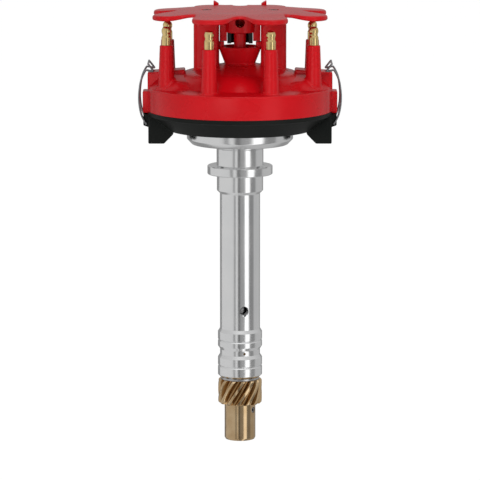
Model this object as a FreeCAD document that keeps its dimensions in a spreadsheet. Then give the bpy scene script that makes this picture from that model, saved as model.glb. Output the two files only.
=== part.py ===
"""An eight-tower ignition distributor for a gear-driven V8 engine, in millimetres.

The origin is the centre of the hold-down collar's underside, on the shaft's axis. +Z points up to
the cap, -Y is the front. Every level and radius comes from the named sizes below.
"""

import FreeCAD, Part
import math
import os
import Sketcher

# Driving sizes
SIZES = {
    # Aluminium housing, from the collar down
    "collar_radius": 23.65,
    "collar_height": 6.4,
    "collar_chamfer": 0.5,
    "seat_radius": 16.8,
    "seat_length": 11.8,
    "seat_slope": 2.2,
    "stem_radius": 14.6,
    "stem_length": 149.5,
    "stem_bore_radius": 8.6,
    "pilot_radius": 16.15,
    "end_chamfer": 1.9,
    "lower_band_length": 12.8,
    "upper_band_length": 10.5,
    "relief_length": 3.7,
    "band_slope": 2.4,
    "groove_width": 1.6,
    "groove_depth": 0.6,
    "groove_drop": 6.2,
    "oil_hole_radius": 3.0,
    "oil_hole_level": 99.2,
    "oil_hole_chamfer": 0.7,
    "vent_hole_radius": 0.9,
    # Aluminium housing, from the collar up
    "neck_radius": 17.0,
    "neck_length": 15.7,
    "neck_step": 0.5,
    "neck_step_length": 3.4,
    "bowl_radius": 38.5,
    "bowl_height": 15.9,
    "bowl_corner_run": 3.7,
    "bowl_corner_rise": 3.9,
    "bowl_wall": 8.0,
    "bowl_floor_thickness": 5.0,
    # Ball bearing in the neck
    "bearing_radius": 14.0,
    "bearing_width": 8.0,
    "bearing_recess": 4.1,
    "bearing_relief": 1.0,
    "bearing_ball_radius": 2.38,
    "bearing_race_wall": 2.4,
    "bearing_clearance": 0.06,
    "cage_thickness": 1.92,
    "cage_height": 5.8,
    "snap_ring_thickness": 1.2,
    "snap_ring_width": 2.6,
    "snap_ring_groove_depth": 1.0,
    # Shaft line
    "shaft_radius": 6.24,
    "shaft_top": 50.0,
    "shaft_end_recess": 2.9,
    "shaft_chamfer": 0.6,
    "drive_slot_width": 4.8,
    "drive_slot_depth": 8.0,
    "running_clearance": 0.05,
    "bushing_length": 30.0,
    "upper_bushing_length": 14.0,
    "upper_bushing_drop": 6.0,
    "washer_radius": 14.0,
    "washer_thickness": 1.3,
    "washer_gap": 0.1,
    "gear_tip_radius": 16.0,
    "gear_root_radius": 12.4,
    "gear_length": 18.1,
    "gear_edge_run": 1.25,
    "gear_edge_rise": 1.0,
    "gear_helix_degrees": 32.0,
    "gear_hub_radius": 11.3,
    "gear_hub_length": 26.8,
    "gear_hub_chamfer": 1.4,
    "gear_pin_radius": 2.35,
    "gear_pin_drop": 4.6,
    "gear_pin_recess": 0.6,
    "gear_pin_bore_radius": 1.1,
    "shaft_clip_thickness": 1.0,
    "shaft_clip_radius": 9.0,
    "shaft_clip_groove": 0.5,
    # Black base ring under the cap
    "rim_set_back": 0.1,
    "rim_bottom": 43.5,
    "seam_level": 46.5,
    "rim_overhang": 2.5,
    "ring_bottom_radius": 51.5,
    "ring_bottom": 32.4,
    "ring_wall": 3.4,
    "mount_plate_thickness": 3.5,
    "mount_plate_width": 7.0,
    "spigot_height": 2.5,
    "spigot_wall": 2.5,
    "foot_bottom": 23.2,
    "foot_half_width": 11.0,
    "foot_toe_length": 11.4,
    "foot_toe_round": 2.0,
    "foot_inner_radius": 48.0,
    "foot_slope_rise": 7.0,
    "lug_reach": 3.2,
    "lug_bottom": 35.0,
    "lug_rise": 1.6,
    "lug_top": 44.5,
    # Red cap
    "skirt_radius": 66.6,
    "skirt_top": 63.4,
    "skirt_round": 1.6,
    "cap_wall": 3.5,
    "deck_inset": 14.8,
    "deck_outer_level": 65.2,
    "step_run": 2.2,
    "step_level": 68.2,
    "dome_inset": 7.4,
    "dome_level": 74.4,
    "dome_round": 22.0,
    "crown_radius": 11.8,
    "crown_level": 80.6,
    "tower_inset": 9.6,
    "tower_base_radius": 5.9,
    "tower_top_radius": 4.75,
    "tower_top": 95.7,
    "tower_foot_radius": 7.1,
    "tower_foot_rise": 1.6,
    "post_centre": 24.2,
    "post_half_width": 9.2,
    "post_half_depth": 8.0,
    "post_round": 3.4,
    "post_sink": 1.0,
    "cup_base_radius": 10.8,
    "cup_rim_radius": 15.8,
    "cup_rim_level": 93.0,
    "cup_wall": 2.2,
    "cup_ear_height": 3.4,
    "cup_ear_half_width": 3.0,
    "column_radius": 4.4,
    "column_top": 103.0,
    "brush_boss_radius": 7.0,
    "brush_boss_bottom": 65.0,
    "boss_length": 27.0,
    "boss_half_width": 9.5,
    "boss_top": 74.8,
    "boss_rise": 2.0,
    "boss_round": 2.2,
    "saddle_half_width": 30.0,
    "saddle_drop": 4.6,
    "saddle_foot": 4.0,
    "saddle_round_run": 9.0,
    "saddle_round_drop": 6.0,
    "cap_lug_length": 3.6,
    "cap_lug_half_width": 8.0,
    "cap_lug_top": 61.0,
    "cap_lug_round": 1.3,
    "cap_lug_overlap": 1.3,
    "fit_gap": 0.3,
    # Brass terminals, carbon brush
    "plug_stem_radius": 3.0,
    "plug_base_radius": 3.5,
    "plug_neck_radius": 2.9,
    "plug_head_radius": 3.4,
    "plug_height": 13.3,
    "electrode_bottom": 55.0,
    "coil_stem_radius": 2.2,
    "coil_head_height": 5.6,
    "brush_radius": 2.6,
    "brush_length": 9.5,
    "brush_gap": 0.1,
    "brush_chamber_top": 76.0,
    "spring_wire_radius": 0.35,
    "spring_coil_radius": 2.1,
    "spring_pitch": 1.4,
    # Wire retainer on the posts
    "retainer_bottom": 115.8,
    "retainer_thickness": 3.4,
    "retainer_radius": 51.5,
    "retainer_reach": 66.7,
    "lobe_radius": 18.5,
    "lobe_drop": 2.7,
    "lobe_thickness": 3.8,
    "lobe_slope_run": 6.5,
    "notch_width": 11.0,
    "notch_depth": 19.0,
    "fin_offset": 17.5,
    "fin_thickness": 4.0,
    "fin_length": 7.0,
    "fin_height": 4.0,
    "hub_radius": 10.9,
    "hub_wall": 3.0,
    "hub_exit_radius": 3.8,
    "hub_exit_level": 109.6,
    "web_bottom": 96.7,
    "web_thickness": 5.0,
    "liner_radius": 9.2,
    "liner_wall": 2.4,
    "liner_bottom": 95.0,
    # Rotor inside the cap
    "rotor_hub_radius": 11.0,
    "rotor_hub_length": 8.0,
    "rotor_plate_radius": 24.0,
    "rotor_plate_thickness": 3.5,
    "rotor_disc_thickness": 4.0,
    "rotor_arm_height": 7.0,
    "rotor_arm_half_width": 7.0,
    "rotor_arm_reach": 48.0,
    "rotor_screw_circle": 16.0,
    "blade_thickness": 1.5,
    "blade_half_width": 4.0,
    "spark_gap": 1.0,
    "button_radius": 3.5,
    "button_height": 1.0,
    # Spring-wire bails
    "bail_wire_radius": 0.75,
    "bail_half_width": 12.9,
    "bail_pivot_offset": 1.1,
    "bail_pivot_level": 37.5,
    "bail_bend_radius": 1.6,
    "bail_hook_radius": 2.4,
    "bail_pin_length": 5.0,
    "bail_bow": 5.5,
    "bail_bow_level": 57.0,
    "bail_low_level": 44.325,
    "bail_low_bow": 3.41,
    "bail_high_level": 69.18,
    "bail_high_bow": 3.74,
    "bail_hook_level": 77.3,
    "bail_hook_inset": 5.6,
    "bail_tab_inset": 1.6,
    "bail_tab_level": 81.3,
    # Small screws
    "screw_radius": 2.0,
    "screw_length": 8.0,
    "rotor_screw_length": 7.2,
    "screw_head_radius": 3.6,
    "screw_head_height": 2.4,
    "socket_radius": 1.45,
    "socket_depth": 1.4,
    "retainer_screw_length": 14.0,
}

TOWERS = 8
BEARING_BALLS = 8
GEAR_TEETH = 13
GEAR_SECTIONS = 6
BASE_SCREWS = 4
FIRST_TOWER_DEGREES = -90 + 180 / TOWERS
OIL_HOLE_DEGREES = -90 + 13
GEAR_PIN_DEGREES = -90 + 60
FULL_TURN = 360
QUARTER_TURN = 90
# PAST is how far a cutting tool runs past the face that it cuts, CLOSE how near counts as the same place
PAST = 1
CLOSE = 0.01
# ARC_SHARE is the part of a straight run that an arc at its end may take up
ARC_SHARE = 0.45
X_SIDES = {"right": 1, "left": -1}
AXIS_X = FreeCAD.Vector(1, 0, 0)
AXIS_Y = FreeCAD.Vector(0, 1, 0)
AXIS_Z = FreeCAD.Vector(0, 0, 1)

NODES = []
doc = FreeCAD.newDocument("distributor")


# Lengths tied to the sheet
class Length:
    """A number of millimetres with the expression that ties it to the sheet."""

    def __init__(self, text, value):
        self.text = text
        self.value = value

    def __add__(self, other):
        return joined(self, "+", other, self.value + amount(other))

    def __radd__(self, other):
        return joined(other, "+", self, amount(other) + self.value)

    def __sub__(self, other):
        return joined(self, "-", other, self.value - amount(other))

    def __rsub__(self, other):
        return joined(other, "-", self, amount(other) - self.value)

    def __mul__(self, factor):
        return joined(self, "*", factor, self.value * amount(factor))

    def __neg__(self):
        return joined(0, "-", self, -self.value)


def amount(length):
    return length.value if isinstance(length, Length) else float(length)


def text_of(length):
    return length.text if isinstance(length, Length) else f"{float(length):.6f}"


def joined(first, sign, second, value):
    return Length(f"({text_of(first)} {sign} {text_of(second)})", value)


class SizeSheet:
    """The document's spreadsheet, read as lengths by name."""

    def __init__(self, sizes):
        self.cells = doc.addObject("Spreadsheet::Sheet", "Sizes")
        for row, (name, value) in enumerate(sizes.items(), 1):
            self.cells.set(f"A{row}", name)
            self.cells.set(f"B{row}", str(value))
            self.cells.setAlias(f"B{row}", name)
        doc.recompute()

    def __getattr__(self, name):
        return Length("Sizes." + name, float(self.cells.get(name)))


S = SizeSheet(SIZES)


# Building blocks
def bind(thing, **lengths):
    """Ties properties of an object to the sheet."""
    for name, length in lengths.items():
        if isinstance(length, Length):
            thing.setExpression(name, length.text)
        else:
            setattr(thing, name, length)


def place(thing, x=0, y=0, z=0, axis=AXIS_Z, degrees=0):
    """Puts an object at a point that follows the sheet, turned about an axis."""
    at = FreeCAD.Vector(amount(x), amount(y), amount(z))
    thing.Placement = FreeCAD.Placement(at, FreeCAD.Rotation(axis, degrees))
    for letter, length in (("x", x), ("y", y), ("z", z)):
        if isinstance(length, Length):
            thing.setExpression(f".Placement.Base.{letter}", length.text)
    return thing


def polar(radius, degrees):
    """The x and y of a point on a circle."""
    angle = math.radians(degrees)
    return radius * math.cos(angle), radius * math.sin(angle)


def lay_outwards(thing, distance, degrees, level):
    """Lays an upright object on its side, pointing away from the vertical axis."""
    x, y = polar(distance, degrees)
    place(thing, x, y, level)
    thing.Placement.Rotation = FreeCAD.Rotation(AXIS_Z, FreeCAD.Vector(*polar(1, degrees), 0))
    return thing


def draw(sketch, outline):
    """Draws a closed outline whose every corner is tied to the sheet."""
    corners = [FreeCAD.Vector(amount(a), amount(b), 0) for a, b in outline]
    count = len(corners)
    for i in range(count):
        sketch.addGeometry(Part.LineSegment(corners[i], corners[(i + 1) % count]))
    for i in range(count):
        sketch.addConstraint(Sketcher.Constraint("Coincident", i, 2, (i + 1) % count, 1))
    for i, pair in enumerate(outline):
        for kind, length, axis_line in (("DistanceX", pair[0], -2), ("DistanceY", pair[1], -1)):
            if amount(length) == 0:
                sketch.addConstraint(Sketcher.Constraint("PointOnObject", i, 1, axis_line))
                continue
            fixed = Sketcher.Constraint(kind, -1, 1, i, 1, amount(length))
            index = sketch.addConstraint(fixed)
            if isinstance(length, Length):
                sketch.setExpression(f"Constraints[{index}]", length.text)


def origin_plane(body, role):
    return next(f for f in body.Origin.OriginFeatures if f.Role == role)


def sketched_body(name, outline, role):
    """A body with one sketch on one of its own origin planes."""
    body = doc.addObject("PartDesign::Body", name)
    sketch = body.newObject("Sketcher::SketchObject", name + "_outline")
    sketch.AttachmentSupport = [(origin_plane(body, role), "")]
    sketch.MapMode = "FlatFace"
    draw(sketch, outline)
    return body, sketch


def lathe(name, outline):
    """A turned piece: an outline of radius and height, spun about the vertical axis."""
    body, sketch = sketched_body(name, outline, "XZ_Plane")
    turned = body.newObject("PartDesign::Revolution", name + "_turned")
    turned.Profile = sketch
    turned.ReferenceAxis = (sketch, ["V_Axis"])
    turned.Angle = FULL_TURN
    return body


def plate(name, outline, half_width, role="XZ_Plane"):
    """A flat piece: an outline on an origin plane, padded the same way to both sides."""
    body, sketch = sketched_body(name, outline, role)
    pad = body.newObject("PartDesign::Pad", name + "_pad")
    pad.Profile = sketch
    pad.SideType = "Symmetric"
    bind(pad, Length=half_width * 2)
    return body


def tube_outline(inner, outer, bottom, top):
    return [(inner, bottom), (outer, bottom), (outer, top), (inner, top)]


def span_start(inner, outer, sign):
    """The lower x of a stretch between two distances from the axis, on either side."""
    return inner if sign > 0 else -outer


def cylinder(name, radius, bottom, top, x=0, y=0):
    rod = doc.addObject("Part::Cylinder", name)
    bind(rod, Radius=radius, Height=top - bottom)
    return place(rod, x, y, bottom)


def cone(name, bottom_radius, top_radius, bottom, top, x=0, y=0):
    taper = doc.addObject("Part::Cone", name)
    bind(taper, Radius1=bottom_radius, Radius2=top_radius, Height=top - bottom)
    return place(taper, x, y, bottom)


def block(name, x, y, z, size_x, size_y, size_z):
    """A box from its lowest corner and its three sizes."""
    box = doc.addObject("Part::Box", name)
    bind(box, Length=size_x, Width=size_y, Height=size_z)
    return place(box, x, y, z)


def fuse(name, *parts):
    joint = doc.addObject("Part::MultiFuse", name)
    joint.Shapes = list(parts)
    joint.Refine = True
    return joint


def cut(name, base, *tools):
    """The base less all the tools."""
    tool = tools[0] if len(tools) == 1 else fuse(name + "_tools", *tools)
    result = doc.addObject("Part::Cut", name)
    result.Base = base
    result.Tool = tool
    result.Refine = True
    return result


def common(name, first, second):
    result = doc.addObject("Part::Common", name)
    result.Base = first
    result.Tool = second
    return result


def group(name, *solids):
    """Separate solids that share one node."""
    together = doc.addObject("Part::Compound", name)
    together.Links = list(solids)
    return together


def made(name, shape):
    """A shape worked out in code from the sheet's values."""
    feature = doc.addObject("Part::Feature", name)
    feature.Shape = shape
    return feature


def node(name, thing):
    """Names the piece that the file and the assembly know."""
    thing.Label = name
    NODES.append(thing)
    return thing


def edges_where(shape, test):
    return [i for i, edge in enumerate(shape.Edges, 1) if test(edge)]


def rounded(name, base, radius, test):
    """A fillet on the edges of the base that pass the test."""
    doc.recompute()
    fillet = doc.addObject("Part::Fillet", name)
    fillet.Base = base
    r = amount(radius)
    fillet.Edges = [(i, r, r) for i in edges_where(base.Shape, test)]
    return fillet


def lies_across_at(x, z):
    """A test for a straight edge along the Y axis at that x and z."""
    spot_x, spot_z = amount(x), amount(z)

    def test(edge):
        ends = [v.Point for v in edge.Vertexes]
        return len(ends) == 2 and all(
            abs(end.x - spot_x) < CLOSE and abs(end.z - spot_z) < CLOSE for end in ends
        )

    return test


def is_upright(edge):
    """A straight edge that stands parallel to the vertical axis."""
    ends = [v.Point for v in edge.Vertexes]
    if len(ends) != 2 or not isinstance(edge.Curve, Part.Line):
        return False
    run = ends[1] - ends[0]
    return abs(run.z) > 0.5 and math.hypot(run.x, run.y) < 0.001


def round_corners(points, limit):
    """Straight runs joined by tangent arcs. An arc is as large as its two runs allow, up to a limit
    that is given for each corner."""
    edges = []
    start = points[0]
    for i in range(1, len(points) - 1):
        corner = points[i]
        shorter = min((points[i - 1] - corner).Length, (points[i + 1] - corner).Length)
        back = (points[i - 1] - corner).normalize()
        ahead = (points[i + 1] - corner).normalize()
        half = back.getAngle(ahead) / 2
        radius = min(limit[i - 1], ARC_SHARE * shorter * math.tan(half))
        reach = radius / math.tan(half)
        first = corner + back * reach
        last = corner + ahead * reach
        bisector = (back + ahead).normalize()
        middle = corner + bisector * (radius / math.sin(half) - radius)
        edges.append(Part.LineSegment(start, first).toShape())
        edges.append(Part.Arc(first, middle, last).toShape())
        start = last
    edges.append(Part.LineSegment(start, points[-1]).toShape())
    return Part.Wire(edges)


# Levels and radii that several pieces share
collar_top = S.collar_height
bowl_bottom = collar_top + S.neck_length
bowl_top = bowl_bottom + S.bowl_height
bowl_floor = bowl_bottom + S.bowl_floor_thickness
bowl_inner_radius = S.bowl_radius - S.bowl_wall
stem_end = -S.stem_length
bearing_top = bowl_floor - S.bearing_recess
bearing_bottom = bearing_top - S.bearing_width
bearing_middle = bearing_bottom + S.bearing_width * 0.5
plate_top = bowl_top + S.mount_plate_thickness
plate_inner_radius = S.bowl_radius - S.mount_plate_width
base_screw_circle = S.bowl_radius - S.bowl_wall * 0.5
gear_top = stem_end - S.washer_thickness - S.washer_gap * 2
gear_bottom = gear_top - S.gear_length
hub_bottom = gear_bottom - S.gear_hub_length
shaft_bottom = hub_bottom + S.shaft_end_recess
bushing_bore = S.shaft_radius + S.running_clearance
rotor_plate_bottom = S.shaft_top - S.rotor_plate_thickness
arm_top = S.shaft_top + S.rotor_arm_height
blade_top = arm_top + S.blade_thickness
button_top = blade_top + S.button_height
brush_bottom = button_top + S.brush_gap
brush_top = brush_bottom + S.brush_length
retainer_top = S.retainer_bottom + S.retainer_thickness
rim_radius = S.skirt_radius - S.rim_set_back
cone_top_radius = rim_radius - S.rim_overhang
deck_outer_radius = S.skirt_radius - S.deck_inset
step_radius = deck_outer_radius - S.step_run
dome_radius = step_radius - S.dome_inset
tower_circle = S.skirt_radius - S.tower_inset
cap_lug_reach = S.skirt_radius + S.cap_lug_length
bail_pivot_reach = rim_radius + S.bail_pivot_offset
skirt_inner_radius = S.skirt_radius - S.cap_wall
spigot_radius = skirt_inner_radius - S.fit_gap


# Aluminium housing: one turned billet with its bores and oil holes
def make_housing():
    lower_band_top = stem_end + S.end_chamfer + S.lower_band_length
    relief_bottom = lower_band_top + S.band_slope
    relief_top = relief_bottom + S.relief_length
    upper_band_bottom = relief_top + S.band_slope
    upper_band_top = upper_band_bottom + S.upper_band_length
    edge = S.collar_chamfer
    stepped_neck = S.neck_radius + S.neck_step

    def groove(middle):
        half = S.groove_width * 0.5
        floor = S.pilot_radius - S.groove_depth
        return [(S.pilot_radius, middle - half), (floor, middle), (S.pilot_radius, middle + half)]

    outside = [
        (S.stem_bore_radius, stem_end),
        (S.pilot_radius - S.end_chamfer, stem_end),
        (S.pilot_radius, stem_end + S.end_chamfer),
        *groove(lower_band_top - S.groove_drop),
        (S.pilot_radius, lower_band_top),
        (S.stem_radius, relief_bottom),
        (S.stem_radius, relief_top),
        (S.pilot_radius, upper_band_bottom),
        *groove(upper_band_top - S.groove_drop),
        (S.pilot_radius, upper_band_top),
        (S.stem_radius, upper_band_top + S.band_slope),
        (S.stem_radius, -S.seat_length - S.seat_slope),
        (S.seat_radius, -S.seat_length),
        (S.seat_radius, 0),
        (S.collar_radius - edge, 0),
        (S.collar_radius, edge),
        (S.collar_radius, collar_top - edge),
        (S.collar_radius - edge, collar_top),
        (S.neck_radius, collar_top),
        (S.neck_radius, bowl_bottom - S.neck_step_length),
        (stepped_neck, bowl_bottom - S.neck_step_length + S.neck_step),
        (stepped_neck, bowl_bottom - S.neck_step),
        (stepped_neck + S.neck_step, bowl_bottom),
        (S.bowl_radius - S.bowl_corner_run, bowl_bottom),
        (S.bowl_radius, bowl_bottom + S.bowl_corner_rise),
        (S.bowl_radius, bowl_top),
    ]
    ring_top = bearing_top + S.snap_ring_thickness
    groove_radius = S.bearing_radius + S.snap_ring_groove_depth
    shoulder = S.bearing_radius - S.bearing_race_wall
    inside = [
        (bowl_inner_radius, bowl_top),
        (bowl_inner_radius, bowl_floor),
        (S.bearing_radius, bowl_floor),
        (S.bearing_radius, ring_top),
        (groove_radius, ring_top),
        (groove_radius, bearing_top),
        (S.bearing_radius, bearing_top),
        (S.bearing_radius, bearing_bottom),
        (shoulder, bearing_bottom),
        (shoulder, bearing_bottom - S.bearing_relief),
        (S.stem_bore_radius, bearing_bottom - S.bearing_relief),
    ]
    billet = lathe("housing_billet", outside + inside)

    def radial_hole(name, radius, level, inner, outer):
        hole = doc.addObject("Part::Cylinder", name)
        bind(hole, Radius=radius, Height=outer - inner)
        return lay_outwards(hole, inner, OIL_HOLE_DEGREES, level)

    oil_level = -S.oil_hole_level
    inner = S.stem_bore_radius - PAST
    oil_hole = radial_hole("oil_hole", S.oil_hole_radius, oil_level, inner, S.pilot_radius)
    mouth = doc.addObject("Part::Cone", "oil_hole_mouth")
    bind(
        mouth,
        Radius1=S.oil_hole_radius,
        Radius2=S.oil_hole_radius + S.oil_hole_chamfer * 2,
        Height=S.oil_hole_chamfer * 2,
    )
    lay_outwards(mouth, S.stem_radius - S.oil_hole_chamfer, OIL_HOLE_DEGREES, oil_level)
    vent_level = relief_bottom + S.vent_hole_radius * 2
    vent_hole = radial_hole("vent_hole", S.vent_hole_radius, vent_level, inner, S.pilot_radius)
    holes = [oil_hole, mouth, vent_hole]
    for i in range(BASE_SCREWS):
        x, y = base_screw_place(i)
        bottom = bowl_top - S.screw_length
        holes.append(cylinder(f"bowl_thread_{i + 1}", S.screw_radius, bottom, bowl_top + PAST, x, y))
    node("housing", cut("housing_cut", billet, *holes))


def base_screw_place(index):
    return polar(base_screw_circle, (index + 0.5) * FULL_TURN / BASE_SCREWS)


# Ball bearing in the neck, with the ring that keeps it in
def make_bearing():
    outer_wall = S.bearing_radius - S.bearing_race_wall
    inner_wall = S.shaft_radius + S.bearing_race_wall
    pitch_radius = (outer_wall + inner_wall) * 0.5
    tunnel = doc.addObject("Part::Torus", "ball_tunnel")
    bind(tunnel, Radius1=pitch_radius, Radius2=S.bearing_ball_radius + S.bearing_clearance)
    place(tunnel, z=bearing_middle)
    races = {
        "bearing_outer_race": (outer_wall, S.bearing_radius),
        "bearing_inner_race": (S.shaft_radius, inner_wall),
    }
    for name, (inner, outer) in races.items():
        blank = lathe(name + "_blank", tube_outline(inner, outer, bearing_bottom, bearing_top))
        node(name, cut(name + "_cut", blank, tunnel))

    balls = []
    pockets = []
    for i in range(BEARING_BALLS):
        degrees = (i + 0.5) * FULL_TURN / BEARING_BALLS
        x, y = polar(pitch_radius, degrees)
        ball = doc.addObject("Part::Sphere", f"bearing_ball_{i + 1}")
        bind(ball, Radius=S.bearing_ball_radius)
        balls.append(place(ball, x, y, bearing_middle))
        pocket = doc.addObject("Part::Cylinder", f"cage_pocket_{i + 1}")
        bind(pocket, Radius=S.bearing_ball_radius + S.bearing_clearance, Height=S.cage_thickness * 2)
        pockets.append(lay_outwards(pocket, pitch_radius - S.cage_thickness, degrees, bearing_middle))
    node("bearing_balls", group("bearing_balls_group", *balls))

    half_wall = S.cage_thickness * 0.5
    half_height = S.cage_height * 0.5
    ring = tube_outline(
        pitch_radius - half_wall,
        pitch_radius + half_wall,
        bearing_middle - half_height,
        bearing_middle + half_height,
    )
    node("bearing_cage", cut("bearing_cage_cut", lathe("bearing_cage_ring", ring), *pockets))

    ring_outer = S.bearing_radius + S.snap_ring_groove_depth
    ring_inner = ring_outer - S.snap_ring_width
    ring_top = bearing_top + S.snap_ring_thickness
    full = lathe("snap_ring_full", tube_outline(ring_inner, ring_outer, bearing_top, ring_top))
    gap = block(
        "snap_ring_gap",
        ring_inner - PAST,
        -S.snap_ring_width,
        bearing_top - PAST,
        S.snap_ring_width + 2 * PAST,
        S.snap_ring_width * 2,
        S.snap_ring_thickness + 2 * PAST,
    )
    node("bearing_snap_ring", cut("snap_ring_cut", full, gap))


# Plain bushings in the stem
def make_bushings():
    lower_top = stem_end + S.bushing_length
    lower = lathe("bushing_tube", tube_outline(bushing_bore, S.stem_bore_radius, stem_end, lower_top))
    node("lower_bushing", lower)
    upper_top = bearing_bottom - S.upper_bushing_drop
    upper_bottom = upper_top - S.upper_bushing_length
    outline = tube_outline(bushing_bore, S.stem_bore_radius, upper_bottom, upper_top)
    node("upper_bushing", lathe("upper_bushing_tube", outline))


# Steel shaft with the slot that drives the oil pump
def make_shaft():
    edge = S.shaft_chamfer
    clip_bottom = bearing_top
    clip_top = clip_bottom + S.shaft_clip_thickness
    groove_radius = S.shaft_radius - S.shaft_clip_groove
    outline = [
        (0, shaft_bottom),
        (S.shaft_radius - edge, shaft_bottom),
        (S.shaft_radius, shaft_bottom + edge),
        (S.shaft_radius, clip_bottom),
        (groove_radius, clip_bottom),
        (groove_radius, clip_top),
        (S.shaft_radius, clip_top),
        (S.shaft_radius, S.shaft_top - edge),
        (S.shaft_radius - edge, S.shaft_top),
        (0, S.shaft_top),
    ]
    bar = lathe("shaft_bar", outline)
    slot = block(
        "drive_slot",
        -S.shaft_radius * 2,
        -S.drive_slot_width * 0.5,
        shaft_bottom - PAST,
        S.shaft_radius * 4,
        S.drive_slot_width,
        S.drive_slot_depth + PAST,
    )
    node("shaft", cut("shaft_cut", bar, slot, gear_pin_hole("shaft_pin_hole")))
    clip_outline = tube_outline(groove_radius, S.shaft_clip_radius, clip_bottom, clip_top)
    full = lathe("shaft_clip_full", clip_outline)
    mouth_half_width = groove_radius * 0.8
    mouth = block(
        "shaft_clip_mouth",
        0,
        -mouth_half_width,
        clip_bottom - PAST,
        S.shaft_clip_radius * 2,
        mouth_half_width * 2,
        S.shaft_clip_thickness + 2 * PAST,
    )
    node("shaft_clip", cut("shaft_clip_cut", full, mouth))


def gear_pin_hole(name):
    """A hole across the gear's hub and the shaft, on the pin's line."""
    return gear_pin_rod(name, S.gear_pin_radius, S.gear_hub_radius + PAST)


def gear_pin_rod(name, radius, half_length):
    rod = doc.addObject("Part::Cylinder", name)
    bind(rod, Radius=radius, Height=half_length * 2)
    return lay_outwards(rod, -half_length, GEAR_PIN_DEGREES, gear_bottom - S.gear_pin_drop)


# Bronze gear, its pin and the thrust washer above it
def gear_section(turn_degrees, level):
    """The closed outline of the teeth across the axis, with corners at shares of a pitch."""
    root = S.gear_root_radius.value
    tip = S.gear_tip_radius.value
    pitch = FULL_TURN / GEAR_TEETH
    shares = {"root": 0.17, "flank": 0.325, "tip": 0.40}
    flank_radius = root + (tip - root) * 0.5

    def spot(radius, share, tooth):
        angle = math.radians(turn_degrees + (tooth + share) * pitch)
        return FreeCAD.Vector(radius * math.cos(angle), radius * math.sin(angle), level)

    edges = []
    for tooth in range(GEAR_TEETH):
        rise = (
            spot(root, shares["root"], tooth),
            spot(flank_radius, shares["flank"], tooth),
            spot(tip, shares["tip"], tooth),
        )
        fall = (
            spot(tip, 1 - shares["tip"], tooth),
            spot(flank_radius, 1 - shares["flank"], tooth),
            spot(root, 1 - shares["root"], tooth),
        )
        top = (rise[2], spot(tip, 0.5, tooth), fall[0])
        valley = (fall[2], spot(root, 1, tooth), spot(root, 1 + shares["root"], tooth))
        for start, middle, end in (rise, top, fall, valley):
            edges.append(Part.Arc(start, middle, end).toShape())
    return Part.Wire(edges)


def make_gear():
    length = S.gear_length.value
    pitch_radius = (S.gear_root_radius.value + S.gear_tip_radius.value) / 2
    twist = math.degrees(length * math.tan(math.radians(S.gear_helix_degrees.value)) / pitch_radius)
    wires = []
    for i in range(GEAR_SECTIONS):
        share = i / (GEAR_SECTIONS - 1)
        wires.append(gear_section(twist * share, gear_bottom.value + length * share))
    teeth = made("gear_teeth", Part.makeLoft(wires, True, False))
    edge = S.gear_hub_chamfer
    hub = lathe(
        "gear_hub",
        [
            (0, hub_bottom),
            (S.gear_hub_radius - edge * 0.5, hub_bottom),
            (S.gear_hub_radius, hub_bottom + edge),
            (S.gear_hub_radius, gear_bottom + PAST),
            (0, gear_bottom + PAST),
        ],
    )
    inner = S.gear_tip_radius - S.gear_edge_run
    outer = S.gear_tip_radius + S.gear_edge_run
    envelope = lathe(
        "gear_envelope",
        [
            (0, gear_bottom),
            (inner, gear_bottom),
            (outer, gear_bottom + S.gear_edge_rise * 2),
            (outer, gear_top - S.gear_edge_rise * 2),
            (inner, gear_top),
            (0, gear_top),
        ],
    )
    trimmed = common("gear_teeth_trimmed", teeth, envelope)
    bore = cylinder("gear_bore", S.shaft_radius, hub_bottom - PAST, gear_top + PAST)
    whole = fuse("gear_whole", trimmed, hub)
    node("drive_gear", cut("gear_cut", whole, bore, gear_pin_hole("gear_pin_bore")))

    half_length = S.gear_hub_radius - S.gear_pin_recess
    pin = gear_pin_rod("roll_pin_rod", S.gear_pin_radius, half_length)
    hollow = gear_pin_rod("roll_pin_hollow", S.gear_pin_bore_radius, half_length + PAST)
    slit = doc.addObject("Part::Box", "roll_pin_slit")
    slit_width = S.gear_pin_bore_radius * 0.5
    bind(slit, Length=(half_length + PAST) * 2, Width=slit_width, Height=S.gear_pin_radius * 2)
    x, y = polar(-half_length - PAST, GEAR_PIN_DEGREES)
    place(slit, x, y, gear_bottom - S.gear_pin_drop, AXIS_Z, GEAR_PIN_DEGREES)
    node("gear_roll_pin", cut("roll_pin_cut", pin, hollow, slit))

    top = stem_end - S.washer_gap
    outline = tube_outline(bushing_bore, S.washer_radius, top - S.washer_thickness, top)
    node("thrust_washer", lathe("thrust_washer_ring", outline))


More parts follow.
